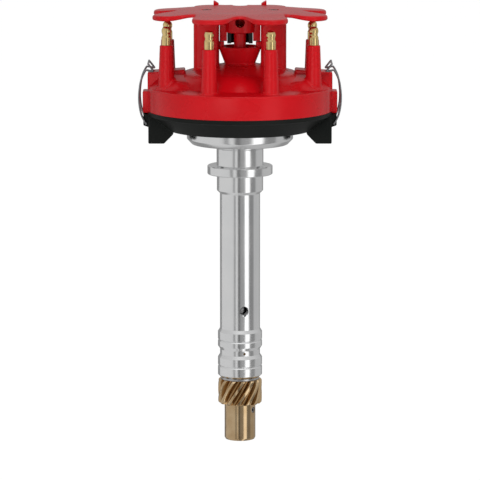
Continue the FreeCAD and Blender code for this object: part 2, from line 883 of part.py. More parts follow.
# Black base ring that carries the cap and the bails
def make_base_ring():
    wall = S.ring_wall
    outline = [
        (S.bowl_radius + S.fit_gap, S.ring_bottom),
        (S.ring_bottom_radius, S.ring_bottom),
        (cone_top_radius, S.rim_bottom - S.collar_chamfer),
        (rim_radius, S.rim_bottom),
        (rim_radius, S.seam_level),
        (spigot_radius, S.seam_level),
        (spigot_radius, S.seam_level + S.spigot_height),
        (spigot_radius - S.spigot_wall, S.seam_level + S.spigot_height),
        (spigot_radius - S.spigot_wall, S.rim_bottom),
        (S.ring_bottom_radius - wall * 0.5, S.ring_bottom + wall),
        (S.bowl_radius + wall, S.ring_bottom + wall),
        (S.bowl_radius + wall, plate_top),
        (plate_inner_radius, plate_top),
        (plate_inner_radius, bowl_top),
        (S.bowl_radius + S.fit_gap, bowl_top),
    ]
    solids = [lathe("base_ring_turned", outline)]
    holes = []
    toe = rim_radius - S.fit_gap
    for side, sign in X_SIDES.items():
        foot = [
            (toe * sign, S.rim_bottom),
            (toe * sign, S.foot_bottom),
            ((toe - S.foot_toe_length) * sign, S.foot_bottom),
            (S.foot_inner_radius * sign, S.foot_bottom + S.foot_slope_rise),
            (S.foot_inner_radius * sign, S.ring_bottom + wall * 0.4),
            ((S.ring_bottom_radius + wall * 0.2) * sign, S.ring_bottom + wall * 0.7),
            ((cone_top_radius - wall * 0.5) * sign, S.rim_bottom),
        ]
        foot_plate = plate(f"foot_{side}", foot, S.foot_half_width)
        toe_corner = lies_across_at(toe * sign, S.foot_bottom)
        solids.append(rounded(f"foot_{side}_rounded", foot_plate, S.foot_toe_round, toe_corner))
        lug_root = rim_radius - S.fit_gap * 4
        lug_end = rim_radius + S.lug_reach
        lug = [
            (lug_root * sign, S.lug_bottom),
            (lug_end * sign, S.lug_bottom + S.lug_rise),
            (lug_end * sign, S.lug_top),
            (lug_root * sign, S.lug_top),
        ]
        solids.append(plate(f"lug_{side}", lug, S.foot_half_width))
        rod = doc.addObject("Part::Cylinder", f"bail_hole_{side}")
        half_length = S.foot_half_width + PAST
        bind(rod, Radius=S.bail_wire_radius + S.running_clearance, Height=half_length * 2)
        place(rod, bail_pivot_reach * sign, half_length, S.bail_pivot_level, AXIS_X, QUARTER_TURN)
        holes.append(rod)
        inner = S.skirt_radius + S.fit_gap
        outer = cap_lug_reach + PAST
        notch = block(
            f"key_notch_{side}",
            span_start(inner, outer, sign),
            -S.cap_lug_half_width - S.fit_gap,
            S.seam_level - S.cap_lug_overlap - S.fit_gap,
            outer - inner,
            (S.cap_lug_half_width + S.fit_gap) * 2,
            S.cap_lug_overlap * 2,
        )
        holes.append(notch)
    for i in range(BASE_SCREWS):
        x, y = base_screw_place(i)
        bottom = bowl_top - PAST
        holes.append(cylinder(f"base_hole_{i + 1}", S.screw_radius, bottom, plate_top + PAST, x, y))
    whole = fuse("base_ring_whole", *solids)
    node("cap_base_ring", cut("base_ring_cut", whole, *holes))


# Button-head screws with a hexagon socket
def make_screw(name, seat, length, x, y):
    """A screw with its head on a seat and its shank below it."""
    head_top = seat + S.screw_head_height
    outline = [
        (0, seat - length),
        (S.screw_radius - S.shaft_chamfer, seat - length),
        (S.screw_radius, seat - length + S.shaft_chamfer),
        (S.screw_radius, seat),
        (S.screw_head_radius, seat),
        (S.screw_head_radius, seat + S.screw_head_height * 0.45),
        (S.screw_head_radius * 0.72, head_top),
        (0, head_top),
    ]
    blank = lathe(name + "_blank", outline)
    socket = doc.addObject("Part::Prism", name + "_socket")
    socket.Polygon = 6
    bind(socket, Circumradius=S.socket_radius, Height=S.socket_depth + PAST)
    place(socket, z=head_top - S.socket_depth)
    screw = cut(name, blank, socket)
    return place(screw, x, y)


def make_screws():
    base = []
    for i in range(BASE_SCREWS):
        x, y = base_screw_place(i)
        base.append(make_screw(f"base_screw_{i + 1}", plate_top, S.screw_length, x, y))
    node("base_screws", group("base_screws_group", *base))
    rotor = []
    retainer = []
    for side, sign in X_SIDES.items():
        x, y = polar(S.rotor_screw_circle * sign, FIRST_TOWER_DEGREES + QUARTER_TURN)
        seat = S.shaft_top + S.rotor_disc_thickness
        rotor.append(make_screw(f"rotor_screw_{side}", seat, S.rotor_screw_length, x, y))
        seat = retainer_top - S.screw_head_height
        length = S.retainer_screw_length
        retainer.append(make_screw(f"retainer_screw_{side}", seat, length, S.post_centre * sign, 0))
    node("rotor_screws", group("rotor_screws_group", *rotor))
    node("retainer_screws", group("retainer_screws_group", *retainer))


# Red cap: a turned shell with towers, posts, cup, side bosses and the saddles that carry them
def make_saddle(side, sign):
    """A ridge from the dome to a boss, whose sides slope down past the two towers beside it."""
    start = S.skirt_radius - S.boss_length
    middle = start * 0.5
    low = S.deck_outer_level
    shoulder = S.boss_top - S.saddle_drop
    ridge = plate(
        f"saddle_ridge_{side}",
        [
            (-S.saddle_half_width - S.saddle_foot, low),
            (S.saddle_half_width + S.saddle_foot, low),
            (S.saddle_half_width, shoulder),
            (S.boss_half_width, S.boss_top),
            (-S.boss_half_width, S.boss_top),
            (-S.saddle_half_width, shoulder),
        ],
        S.skirt_radius,
        "YZ_Plane",
    )
    edge = S.skirt_radius - S.skirt_round
    crest = edge - S.saddle_round_run
    envelope = lathe(
        f"saddle_envelope_{side}",
        [
            (start, low),
            (edge, low),
            ((crest + edge) * 0.5 + S.skirt_round, S.boss_top - S.saddle_round_drop * 0.5),
            (crest, S.boss_top + S.boss_rise),
            (start, S.boss_top + S.boss_rise),
        ],
    )
    half = block(
        f"saddle_half_{side}",
        span_start(middle, S.skirt_radius, sign),
        -S.skirt_radius,
        low,
        S.skirt_radius - middle,
        S.skirt_radius * 2,
        S.boss_top,
    )
    return common(f"saddle_{side}", common(f"saddle_turned_{side}", ridge, envelope), half)


def make_cap():
    wall = S.cap_wall
    outline = [
        (skirt_inner_radius, S.seam_level),
        (S.skirt_radius, S.seam_level),
        (S.skirt_radius, S.skirt_top),
        (deck_outer_radius, S.deck_outer_level),
        (step_radius, S.step_level),
        (dome_radius, S.dome_level),
        (S.crown_radius, S.crown_level),
        (0, S.crown_level),
        (0, S.brush_boss_bottom),
        (S.brush_boss_radius, S.brush_boss_bottom),
        (S.brush_boss_radius + S.fit_gap, S.crown_level - wall),
        (S.crown_radius, S.crown_level - wall),
        (dome_radius - wall * 0.3, S.dome_level - wall),
        (step_radius - wall, S.step_level - wall),
        (step_radius - wall * 0.6, S.deck_outer_level - wall),
        (skirt_inner_radius, S.skirt_top - wall),
    ]
    body = lathe("cap_turned", outline)
    doc.recompute()
    skirt = amount(S.skirt_radius)
    dome = amount(dome_radius)

    def circle_of(edge, radius, level):
        if not isinstance(edge.Curve, Part.Circle):
            return False
        same_radius = abs(edge.Curve.Radius - radius) < CLOSE
        return same_radius and abs(edge.Curve.Center.z - amount(level)) < CLOSE

    def fillet_edge(name, radius, level, size):
        base = body.Tip
        found = edges_where(base.Shape, lambda edge: circle_of(edge, radius, level))
        fillet = body.newObject("PartDesign::Fillet", name)
        fillet.Base = (base, [f"Edge{i}" for i in found])
        bind(fillet, Radius=size)
        doc.recompute()

    fillet_edge("cap_dome_round", dome, S.dome_level, S.dome_round)
    fillet_edge("cap_skirt_round", skirt, S.skirt_top, S.skirt_round)
    fillet_edge("cap_step_round", amount(step_radius), S.step_level, S.skirt_round)
    towers = []
    posts = []
    sides = []
    ears = []
    holes = []
    root = S.deck_outer_level - wall * 0.7
    for i in range(TOWERS):
        x, y = polar(tower_circle, FIRST_TOWER_DEGREES + i * FULL_TURN / TOWERS)
        tag = i + 1
        foot_top = S.deck_outer_level + S.tower_foot_rise
        towers.append(
            cone(f"tower_{tag}", S.tower_base_radius, S.tower_top_radius, root, S.tower_top, x, y)
        )
        towers.append(
            cone(f"tower_foot_{tag}", S.tower_foot_radius, S.tower_base_radius, root, foot_top, x, y)
        )
        bottom = S.electrode_bottom
        top = S.tower_top + PAST
        holes.append(cylinder(f"tower_bore_{tag}", S.plug_stem_radius, bottom, top, x, y))
    for side, sign in X_SIDES.items():
        post_root = S.dome_level + S.post_sink
        post = block(
            f"post_{side}",
            S.post_centre * sign - S.post_half_width,
            -S.post_half_depth,
            post_root,
            S.post_half_width * 2,
            S.post_half_depth * 2,
            S.retainer_bottom - post_root,
        )
        posts.append(rounded(f"post_{side}_rounded", post, S.post_round, is_upright))
        depth = S.retainer_screw_length - S.retainer_thickness + S.screw_head_height
        hole_bottom = S.retainer_bottom - depth
        x = S.post_centre * sign
        holes.append(
            cylinder(f"post_thread_{side}", S.screw_radius, hole_bottom, S.retainer_bottom + PAST, x)
        )
        boss_start = S.skirt_radius - S.boss_length
        boss = [
            (boss_start * sign, S.deck_outer_level),
            ((S.skirt_radius - wall) * sign, S.skirt_top - wall * 0.5),
            (S.skirt_radius * sign, S.skirt_top - wall * 0.5),
            (S.skirt_radius * sign, S.boss_top),
            (boss_start * sign, S.boss_top + S.boss_rise),
        ]
        boss_plate = plate(f"boss_{side}", boss, S.boss_half_width)
        boss_corner = lies_across_at(S.skirt_radius * sign, S.boss_top)
        sides.append(rounded(f"boss_{side}_rounded", boss_plate, S.boss_round, boss_corner))
        sides.append(make_saddle(side, sign))
        key = tube_outline(
            (S.skirt_radius + S.fit_gap) * sign,
            cap_lug_reach * sign,
            S.seam_level - S.cap_lug_overlap,
            S.seam_level,
        )
        lug = tube_outline(
            (S.skirt_radius - wall * 0.6) * sign,
            cap_lug_reach * sign,
            S.seam_level,
            S.cap_lug_top,
        )
        lug_plate = plate(f"cap_lug_{side}", lug, S.cap_lug_half_width)
        lug_corner = lies_across_at(cap_lug_reach * sign, S.cap_lug_top)
        sides.append(rounded(f"cap_lug_{side}_rounded", lug_plate, S.cap_lug_round, lug_corner))
        sides.append(plate(f"cap_key_{side}", key, S.cap_lug_half_width))
        ear = block(
            f"cup_ear_{side}",
            span_start(S.cup_rim_radius - S.cup_wall * 2, S.cup_rim_radius, sign),
            -S.cup_ear_half_width,
            S.cup_rim_level - S.cup_wall,
            S.cup_wall * 2,
            S.cup_ear_half_width * 2,
            S.cup_ear_height + S.cup_wall,
        )
        ears.append(ear)
    cup_floor = S.crown_level + S.cup_wall
    root = S.crown_level - PAST
    cup_outer = cone("cup_outer", S.cup_base_radius, S.cup_rim_radius, root, S.cup_rim_level)
    cup_hollow = cone(
        "cup_hollow",
        S.cup_base_radius - S.cup_wall,
        S.cup_rim_radius - S.cup_wall,
        cup_floor,
        S.cup_rim_level,
    )
    column = cylinder("column", S.column_radius, root, S.column_top)
    with_towers = fuse("cap_with_towers", body, *towers)
    with_posts = fuse("cap_with_posts", with_towers, *posts)
    with_sides = fuse("cap_with_sides", with_posts, *sides)
    with_cup = fuse("cap_with_cup", with_sides, cup_outer, *ears)
    shell = cut("cap_shell_hollowed", with_cup, cup_hollow)
    brush_bore = cylinder(
        "brush_bore",
        S.brush_radius + S.running_clearance,
        S.brush_boss_bottom - PAST,
        S.brush_chamber_top,
    )
    coil_bore = cylinder(
        "coil_bore",
        S.coil_stem_radius,
        S.brush_chamber_top - PAST,
        S.column_top + PAST,
    )
    whole = fuse("cap_shell_whole", shell, column)
    node("cap_shell", cut("cap_shell_cut", whole, *holes, brush_bore, coil_bore))


# Brass terminals
def terminal_outline(stem_radius, bottom, seat, height, profile):
    """A stem up to the seat, then a head whose corners are radii at shares of its height."""
    head = [(radius, seat + height * share) for radius, share in profile]
    return [(0, bottom), (stem_radius, bottom), (stem_radius, seat), *head, (0, seat + height)]


def make_terminals():
    plug_profile = [
        (S.plug_base_radius, 0),
        (S.plug_base_radius, 0.44),
        (S.plug_neck_radius, 0.54),
        (S.plug_neck_radius, 0.60),
        (S.plug_head_radius, 0.70),
        (S.plug_head_radius, 0.82),
        (S.plug_head_radius * 0.84, 0.94),
        (S.plug_head_radius * 0.5, 1),
    ]
    outline = terminal_outline(
        S.plug_stem_radius, S.electrode_bottom, S.tower_top, S.plug_height, plug_profile
    )
    for i in range(TOWERS):
        terminal = lathe(f"plug_terminal_{i + 1}_turned", outline)
        x, y = polar(tower_circle, FIRST_TOWER_DEGREES + i * FULL_TURN / TOWERS)
        node(f"plug_terminal_{i + 1}", place(terminal, x, y))
    coil_profile = [
        (S.plug_base_radius, 0),
        (S.plug_base_radius, 0.3),
        (S.coil_stem_radius, 0.45),
        (S.plug_neck_radius, 0.6),
        (S.plug_neck_radius, 0.8),
        (S.plug_neck_radius * 0.5, 1),
    ]
    outline = terminal_outline(
        S.coil_stem_radius, S.brush_chamber_top, S.column_top, S.coil_head_height, coil_profile
    )
    node("coil_terminal", lathe("coil_terminal_turned", outline))


# Carbon brush and its spring
def make_brush():
    edge = S.brush_radius * 0.25
    outline = [
        (0, brush_bottom),
        (S.brush_radius - edge, brush_bottom),
        (S.brush_radius, brush_bottom + edge),
        (S.brush_radius, brush_top),
        (0, brush_top),
    ]
    node("carbon_brush", lathe("carbon_brush_turned", outline))
    wire = S.spring_wire_radius.value
    bottom = brush_top.value + wire
    height = S.brush_chamber_top.value - wire - bottom
    radius = S.spring_coil_radius.value
    coil = Part.makeHelix(S.spring_pitch.value, height, radius)
    section = Part.Wire(Part.makeCircle(wire, FreeCAD.Vector(radius, 0, 0), AXIS_Y))
    spring = Part.Wire(coil.Edges).makePipeShell([section], True, True)
    spring.translate(FreeCAD.Vector(0, 0, bottom))
    node("brush_spring", made("brush_spring_coil", spring))


# Red wire retainer: a disc with eight stepped lobes, hub, webs and fins
def make_retainer():
    slope_end = S.retainer_radius + S.lobe_slope_run
    lobe_top = retainer_top - S.lobe_drop
    lobe_bottom = lobe_top - S.lobe_thickness
    edge = S.lobe_thickness * 0.2
    dish = lathe(
        "retainer_dish",
        [
            (0, S.retainer_bottom),
            (S.retainer_radius - S.lobe_drop, S.retainer_bottom),
            (slope_end - S.lobe_drop, lobe_bottom),
            (S.retainer_reach - edge, lobe_bottom),
            (S.retainer_reach, lobe_bottom + edge),
            (S.retainer_reach, lobe_top - edge),
            (S.retainer_reach - edge, lobe_top),
            (slope_end, lobe_top),
            (S.retainer_radius, retainer_top),
            (0, retainer_top),
        ],
    )
    low = lobe_bottom - PAST
    high = retainer_top + PAST
    stamps = [cylinder("retainer_disc", S.retainer_radius, low, high)]
    lobe_circle = S.retainer_reach - S.lobe_radius
    for i in range(TOWERS):
        x, y = polar(lobe_circle, FIRST_TOWER_DEGREES + i * FULL_TURN / TOWERS)
        stamps.append(cylinder(f"lobe_{i + 1}", S.lobe_radius, low, high, x, y))
    outline = fuse("retainer_outline", *stamps)
    solids = [common("retainer_plate", dish, outline)]

    hub = lathe(
        "retainer_hub",
        tube_outline(S.hub_radius - S.hub_wall, S.hub_radius, S.column_top, S.retainer_bottom),
    )
    solids.append(hub)
    holes = []
    for side, sign in X_SIDES.items():
        inner = S.hub_radius - S.hub_wall * 0.5
        outer = S.post_centre - S.post_half_width - S.fit_gap
        solids.append(
            block(
                f"web_{side}",
                span_start(inner, outer, sign),
                -S.web_thickness * 0.5,
                S.web_bottom,
                outer - inner,
                S.web_thickness,
                S.retainer_bottom - S.web_bottom,
            )
        )
        solids.append(
            block(
                f"fin_{side}",
                S.fin_offset * sign - S.fin_thickness * 0.5,
                S.retainer_radius - S.fin_length - S.lobe_slope_run * 0.5,
                retainer_top - PAST,
                S.fin_thickness,
                S.fin_length,
                S.fin_height + PAST,
            )
        )
        x = S.post_centre * sign
        holes.append(cylinder(f"retainer_hole_{side}", S.screw_radius, low, high, x))
        seat = retainer_top - S.screw_head_height
        bore_radius = S.screw_head_radius + S.fit_gap
        holes.append(cylinder(f"counterbore_{side}", bore_radius, seat, high, x))
    notch_start = S.retainer_radius - S.notch_depth
    holes.append(
        block(
            "lead_notch",
            -S.notch_width * 0.5,
            notch_start + S.notch_width * 0.5,
            low,
            S.notch_width,
            S.notch_depth * 2,
            high - low,
        )
    )
    notch_y = notch_start + S.notch_width * 0.5
    holes.append(cylinder("lead_notch_end", S.notch_width * 0.5, low, high, 0, notch_y))
    exit_hole = doc.addObject("Part::Cylinder", "lead_exit")
    bind(exit_hole, Radius=S.hub_exit_radius, Height=S.hub_radius + PAST)
    place(exit_hole, z=S.hub_exit_level, axis=AXIS_X, degrees=QUARTER_TURN)
    holes.append(exit_hole)
    node("wire_retainer", cut("retainer_cut", fuse("retainer_whole", *solids), *holes))

    liner = lathe(
        "liner_tube",
        tube_outline(S.liner_radius - S.liner_wall, S.liner_radius, S.liner_bottom, S.column_top),
    )
    front = block(
        "liner_opening",
        -S.liner_radius * 2,
        -S.liner_radius * 2,
        S.liner_bottom - PAST,
        S.liner_radius * 4,
        S.liner_radius * 2 - S.liner_wall,
        S.column_top - S.liner_bottom + 2 * PAST,
    )
    node("lead_liner", cut("liner_cut", liner, front))


# Rotor: metal base on the shaft, plastic arm, brass blade and contact button
def make_rotor():
    hub_bottom_level = S.shaft_top - S.rotor_hub_length
    base = lathe(
        "rotor_base_turned",
        [
            (S.shaft_radius, hub_bottom_level),
            (S.rotor_hub_radius, hub_bottom_level),
            (S.rotor_hub_radius, rotor_plate_bottom),
            (S.rotor_plate_radius, rotor_plate_bottom),
            (S.rotor_plate_radius, S.shaft_top),
            (S.shaft_radius, S.shaft_top),
        ],
    )
    disc_top = S.shaft_top + S.rotor_disc_thickness
    disc = cylinder("rotor_disc", S.rotor_plate_radius, S.shaft_top, disc_top)
    boss = cylinder("rotor_boss", S.rotor_hub_radius, S.shaft_top, arm_top)
    turn = FIRST_TOWER_DEGREES
    beam = block(
        "rotor_beam",
        0,
        0,
        0,
        S.rotor_arm_reach,
        S.rotor_arm_half_width * 2,
        S.rotor_arm_height,
    )
    shift_x, shift_y = polar(S.rotor_arm_half_width, turn - QUARTER_TURN)
    place(beam, shift_x, shift_y, S.shaft_top, AXIS_Z, turn)
    base_holes = []
    arm_holes = []
    for side, sign in X_SIDES.items():
        x, y = polar(S.rotor_screw_circle * sign, turn + QUARTER_TURN)
        for name, bottom, top, holes in (
            ("rotor_base_hole", rotor_plate_bottom - PAST, S.shaft_top + PAST, base_holes),
            ("rotor_arm_hole", S.shaft_top - PAST, arm_top + PAST, arm_holes),
        ):
            holes.append(cylinder(f"{name}_{side}", S.screw_radius, bottom, top, x, y))
    node("rotor_base", cut("rotor_base_cut", base, *base_holes))
    arm = fuse("rotor_arm_whole", disc, boss, beam)
    node("rotor_arm", cut("rotor_arm_cut", arm, *arm_holes))

    blade_reach = tower_circle - S.plug_stem_radius - S.spark_gap
    blade = block("rotor_blade_strip", 0, 0, 0, blade_reach, S.blade_half_width * 2, S.blade_thickness)
    shift_x, shift_y = polar(S.blade_half_width, turn - QUARTER_TURN)
    place(blade, shift_x, shift_y, arm_top, AXIS_Z, turn)
    round_end = cylinder("rotor_blade_round", S.blade_half_width, arm_top, blade_top)
    node("rotor_blade", fuse("rotor_blade_whole", blade, round_end))
    button = cylinder("rotor_button_disc", S.button_radius, blade_top, button_top)
    node("rotor_contact_button", button)


# Spring-wire bails, one each side, pivoting in the base ring's lugs
def make_bails():
    half = S.bail_half_width.value
    pin_start = half - S.bail_pin_length.value
    unlimited = S.skirt_radius.value
    for side, sign in X_SIDES.items():
        pivot = bail_pivot_reach.value
        pivot_level = S.bail_pivot_level.value
        hook_level = S.bail_hook_level.value
        leg = [
            (pivot, pivot_level),
            (pivot + S.bail_low_bow.value, S.bail_low_level.value),
            (pivot + S.bail_bow.value, S.bail_bow_level.value),
            (pivot + S.bail_high_bow.value, S.bail_high_level.value),
            (pivot, hook_level),
            (pivot - S.bail_hook_inset.value, hook_level - S.bail_wire_radius.value * 2),
            (pivot - S.bail_tab_inset.value, S.bail_tab_level.value),
        ]
        near = [FreeCAD.Vector(x * sign, -half, z) for x, z in leg]
        far = [FreeCAD.Vector(x * sign, half, z) for x, z in reversed(leg)]
        first = FreeCAD.Vector(pivot * sign, -pin_start, pivot_level)
        last = FreeCAD.Vector(pivot * sign, pin_start, pivot_level)
        bend = S.bail_bend_radius.value
        hook = S.bail_hook_radius.value
        limits = [bend, unlimited, unlimited, unlimited, hook, bend, bend]
        path = round_corners([first, *near, *far, last], limits + limits[::-1])
        section = Part.Wire(Part.makeCircle(S.bail_wire_radius.value, first, AXIS_Y))
        wire = path.makePipeShell([section], True, False)
        print(f"bail_{side}: path {path.Length:.1f} mm, volume {wire.Volume:.1f} mm3")
        node(f"bail_{side}", made(f"bail_wire_{side}", wire))


def build():
    make_housing()
    make_bearing()
    make_bushings()
    make_shaft()
    make_gear()
    make_base_ring()
    make_screws()
    make_cap()
    make_terminals()
    make_brush()
    make_retainer()
    make_rotor()
    make_bails()
    doc.recompute()


def check_and_write():
    """Stops on any failed object, then writes one file for each piece."""
    for thing in doc.Objects:
        if "Invalid" in thing.State or "Error" in thing.State:
            raise RuntimeError(f"{thing.Name} did not compute: {thing.State}")
    for thing in NODES:
        if thing.Shape.isNull() or not thing.Shape.Solids or not thing.Shape.isValid():
            raise RuntimeError(f"{thing.Label} has no valid solid")
    os.makedirs("parts", exist_ok=True)
    for thing in NODES:
        thing.Shape.exportStep(f"parts/{thing.Label}.step")
        box = thing.Shape.BoundBox
        print(f"{thing.Label}: {len(thing.Shape.Solids)} solid(s), z {box.ZMin:.1f} to {box.ZMax:.1f}")


build()
check_and_write()
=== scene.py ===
# %% [markdown]
# # Ignition distributor: the looks
#
# A gear-driven distributor for a V8 engine: a red moulded cap with brass terminals and a red wire
# retainer, a black base ring with two wire bails, a turned aluminium housing with a long stem, and a
# bronze gear at its foot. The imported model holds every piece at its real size. This script dresses
# it: it gives each piece a finish and models again the pieces whose edges and curves show most.

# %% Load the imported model
import math

import bmesh
import bpy
from mathutils import Matrix, Vector


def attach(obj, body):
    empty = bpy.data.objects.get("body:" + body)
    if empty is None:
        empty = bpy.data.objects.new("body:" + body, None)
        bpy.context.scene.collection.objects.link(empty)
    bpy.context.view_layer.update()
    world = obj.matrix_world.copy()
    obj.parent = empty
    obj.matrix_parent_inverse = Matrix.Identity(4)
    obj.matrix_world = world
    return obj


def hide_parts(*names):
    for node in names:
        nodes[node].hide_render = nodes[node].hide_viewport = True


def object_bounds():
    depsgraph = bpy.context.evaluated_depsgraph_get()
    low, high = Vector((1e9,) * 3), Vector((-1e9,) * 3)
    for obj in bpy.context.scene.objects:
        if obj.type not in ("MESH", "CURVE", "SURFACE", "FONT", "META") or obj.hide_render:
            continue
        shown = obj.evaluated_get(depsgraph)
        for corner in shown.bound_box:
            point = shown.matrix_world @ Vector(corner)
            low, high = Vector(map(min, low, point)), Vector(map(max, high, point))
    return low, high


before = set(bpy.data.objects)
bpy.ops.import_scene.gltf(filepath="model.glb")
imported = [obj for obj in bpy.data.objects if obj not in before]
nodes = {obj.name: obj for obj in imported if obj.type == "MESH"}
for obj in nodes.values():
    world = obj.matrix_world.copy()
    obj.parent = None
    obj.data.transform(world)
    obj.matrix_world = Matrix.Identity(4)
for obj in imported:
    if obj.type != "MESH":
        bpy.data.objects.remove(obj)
cad_low, cad_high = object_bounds()
MM = 0.001
print("pieces in the frame:", len(nodes), "- box in mm:", [round(s / MM, 1) for s in cad_high - cad_low])

# %% [markdown]
# ## The camera
#
# The photograph looks a little down on the distributor from the front, through a long lens, so that
# its upright edges hardly converge. A camera that stands 2.5 m away with a very long lens shows the
# same. It is tilted down and has no shift, so it frames the piece as well from any other side.

# %% Place the camera
SENSOR = 36.0
PICTURE = 480
FOCAL_PIXELS = 3477.0
CAMERA_DISTANCE = 2500 * MM
CAMERA_HEIGHT = 344 * MM
LOOK_DOWN = math.radians(8.928)


def new_object(name, data):
    """An object that holds the data, linked into the scene."""
    made = bpy.data.objects.new(name, data)
    bpy.context.scene.collection.objects.link(made)
    return made


camera_data = bpy.data.cameras.new("photo_camera")
camera_data.sensor_width = SENSOR
camera_data.lens = FOCAL_PIXELS / PICTURE * SENSOR
camera = new_object("photo_camera", camera_data)
camera.location = (0, -CAMERA_DISTANCE, CAMERA_HEIGHT)
camera.rotation_euler = (math.pi / 2 - LOOK_DOWN, 0, 0)
bpy.context.scene.camera = camera
bpy.context.scene.view_settings.view_transform = "Standard"
print("lens in mm:", round(camera_data.lens, 1))

# %% [markdown]
# ## Helpers for shader nodes
#
# A material is a small network of nodes. These helpers keep the cells below short: one empties a
# network, one adds a node and fills in its inputs, one gives a colour ramp its stops, and one mixes
# two colours.

# %% Node helpers
def empty_tree(owner):
    """The network of a material or of the world, without nodes."""
    owner.use_nodes = True
    owner.node_tree.nodes.clear()
    return owner.node_tree


def add_node(tree, kind, inputs=None, **settings):
    """Adds a node of that kind. Its inputs are values, or sockets to link from."""
    node = tree.nodes.new(kind)
    for name, value in settings.items():
        setattr(node, name, value)
    for name, value in (inputs or {}).items():
        if isinstance(value, bpy.types.NodeSocket):
            tree.links.new(value, node.inputs[name])
        else:
            node.inputs[name].default_value = value
    return node


def fill_ramp(node, stops):
    """Gives a colour ramp its stops: pairs of a place from 0 to 1 and a grey level."""
    elements = node.color_ramp.elements
    while len(elements) > 1:
        elements.remove(elements[-1])
    for index, (place, level) in enumerate(stops):
        element = elements[0] if index == 0 else elements.new(place)
        element.position = place
        element.color = (level, level, level, 1)
    return node


def mix_colors(tree, factor, first, second):
    """A colour from the first to the second; each is a socket, or a red, green and blue level."""
    first, second = [
        color if isinstance(color, bpy.types.NodeSocket) else (*color, 1) for color in (first, second)
    ]
    node = add_node(tree, "ShaderNodeMix", {"Factor": factor, "A": first, "B": second}, data_type="RGBA")
    return node.outputs["Result"]


# %% [markdown]
# ## The studio
#
# Polished metal looks like what stands around it. The photograph shows tall pale and dark cards in
# the stem: so the world shows such cards, by direction, to the rays that mirror off the piece. To the
# camera it is plain white, and for the soft light on everything else it is an even pale grey.

# %% Build the world
FULL_TURN = 2 * math.pi
WHITE = (1, 1, 1, 1)
WORLD_LIGHT = 0.45
CARDS = [
    (-180, 0.40), (-150, 0.30), (-131, 0.30), (-128, 0.72), (-37, 0.72), (-34, 0.38), (-25, 0.38),
    (-23, 0.85), (-13, 0.78), (-10, 0.16), (-1, 0.18), (2, 0.38), (26, 0.40), (29, 1.5),
    (49, 1.5), (55, 0.28), (83, 0.30), (86, 0.55), (140, 0.55), (150, 0.30), (180, 0.40),
]
CARD_TOPS = {"From Min": 0.05, "From Max": 0.55}
OVERHEAD = [(0.0, 0.45), (0.35, 0.6), (0.75, 0.7), (0.92, 1.5), (1.0, 2.4)]


def around(degrees):
    """The place on the ramp of a direction, in degrees from the camera's side towards +X."""
    return degrees / 360 + 0.5


world = bpy.data.worlds.new("studio")
bpy.context.scene.world = world
tree = empty_tree(world)
direction = add_node(tree, "ShaderNodeTexCoord").outputs["Generated"]
parts = add_node(tree, "ShaderNodeSeparateXYZ", {"Vector": direction})
forward = add_node(tree, "ShaderNodeMath", {0: parts.outputs["Y"], 1: -1.0}, operation="MULTIPLY")
turn = add_node(tree, "ShaderNodeMath", {0: parts.outputs["X"], 1: forward.outputs[0]},
                operation="ARCTAN2")
place = add_node(tree, "ShaderNodeMath", {0: turn.outputs[0], 1: 1 / FULL_TURN, 2: 0.5},
                 operation="MULTIPLY_ADD")
cards = fill_ramp(add_node(tree, "ShaderNodeValToRGB", {"Fac": place.outputs[0]}),
                  [(around(degrees), level) for degrees, level in CARDS])
height = add_node(tree, "ShaderNodeMapRange", {"Value": parts.outputs["Z"], **CARD_TOPS})
overhead = fill_ramp(add_node(tree, "ShaderNodeValToRGB", {"Fac": parts.outputs["Z"]}), OVERHEAD)
mirrored = mix_colors(tree, height.outputs["Result"], cards.outputs["Color"], overhead.outputs["Color"])
path = add_node(tree, "ShaderNodeLightPath")
even = add_node(tree, "ShaderNodeBackground", {"Color": WHITE, "Strength": WORLD_LIGHT})
shown = add_node(tree, "ShaderNodeBackground", {"Color": mirrored})
white = add_node(tree, "ShaderNodeBackground", {"Color": WHITE})
glossy = add_node(tree, "ShaderNodeMixShader",
                  {0: path.outputs["Is Glossy Ray"], 1: even.outputs[0], 2: shown.outputs[0]})
seen = add_node(tree, "ShaderNodeMixShader",
                {0: path.outputs["Is Camera Ray"], 1: glossy.outputs[0], 2: white.outputs[0]})
add_node(tree, "ShaderNodeOutputWorld", {"Surface": seen.outputs[0]})
print("points on the ramp of cards:", len(CARDS))

# %% [markdown]
# ## Lamps and floor
#
# Two large soft lamps light the piece: one high at the right gives the forms a light and a darker
# side, and one in front at the left keeps the darker side soft. Neither shows in the metal. The floor
# is pale and catches a faint shadow; to the camera most of it is the same white as the world, so no
# edge shows behind the piece. From below the floor is clear, so the piece can be seen there too.

# %% Add the lamps and the floor
LAMPS = [
    ("key_lamp", (0.7, -0.9, 1.1), 0.7, 9.0, (0, 0, 0)),
    ("fill_lamp", (-0.5, -1.6, 0.1), 0.9, 13.5, (0, 0, 0.05)),
]
FLOOR_SIZE = 6.0
FLOOR_PAINT = (0.95, 0.95, 0.95, 1)
FLOOR_SHADOW = 0.12
FLOOR_GLOW = 1.08


def add_area_lamp(name, location, size, power, target):
    """Adds a square soft lamp at a place, with a size in metres and a power in watts, that shines on
    the target."""
    data = bpy.data.lights.new(name, "AREA")
    data.energy = power
    data.size = size
    lamp = new_object(name, data)
    lamp.location = location
    lamp.rotation_euler = (Vector(target) - Vector(location)).to_track_quat("-Z", "Y").to_euler()
    lamp.visible_glossy = False


for lamp_settings in LAMPS:
    add_area_lamp(*lamp_settings)

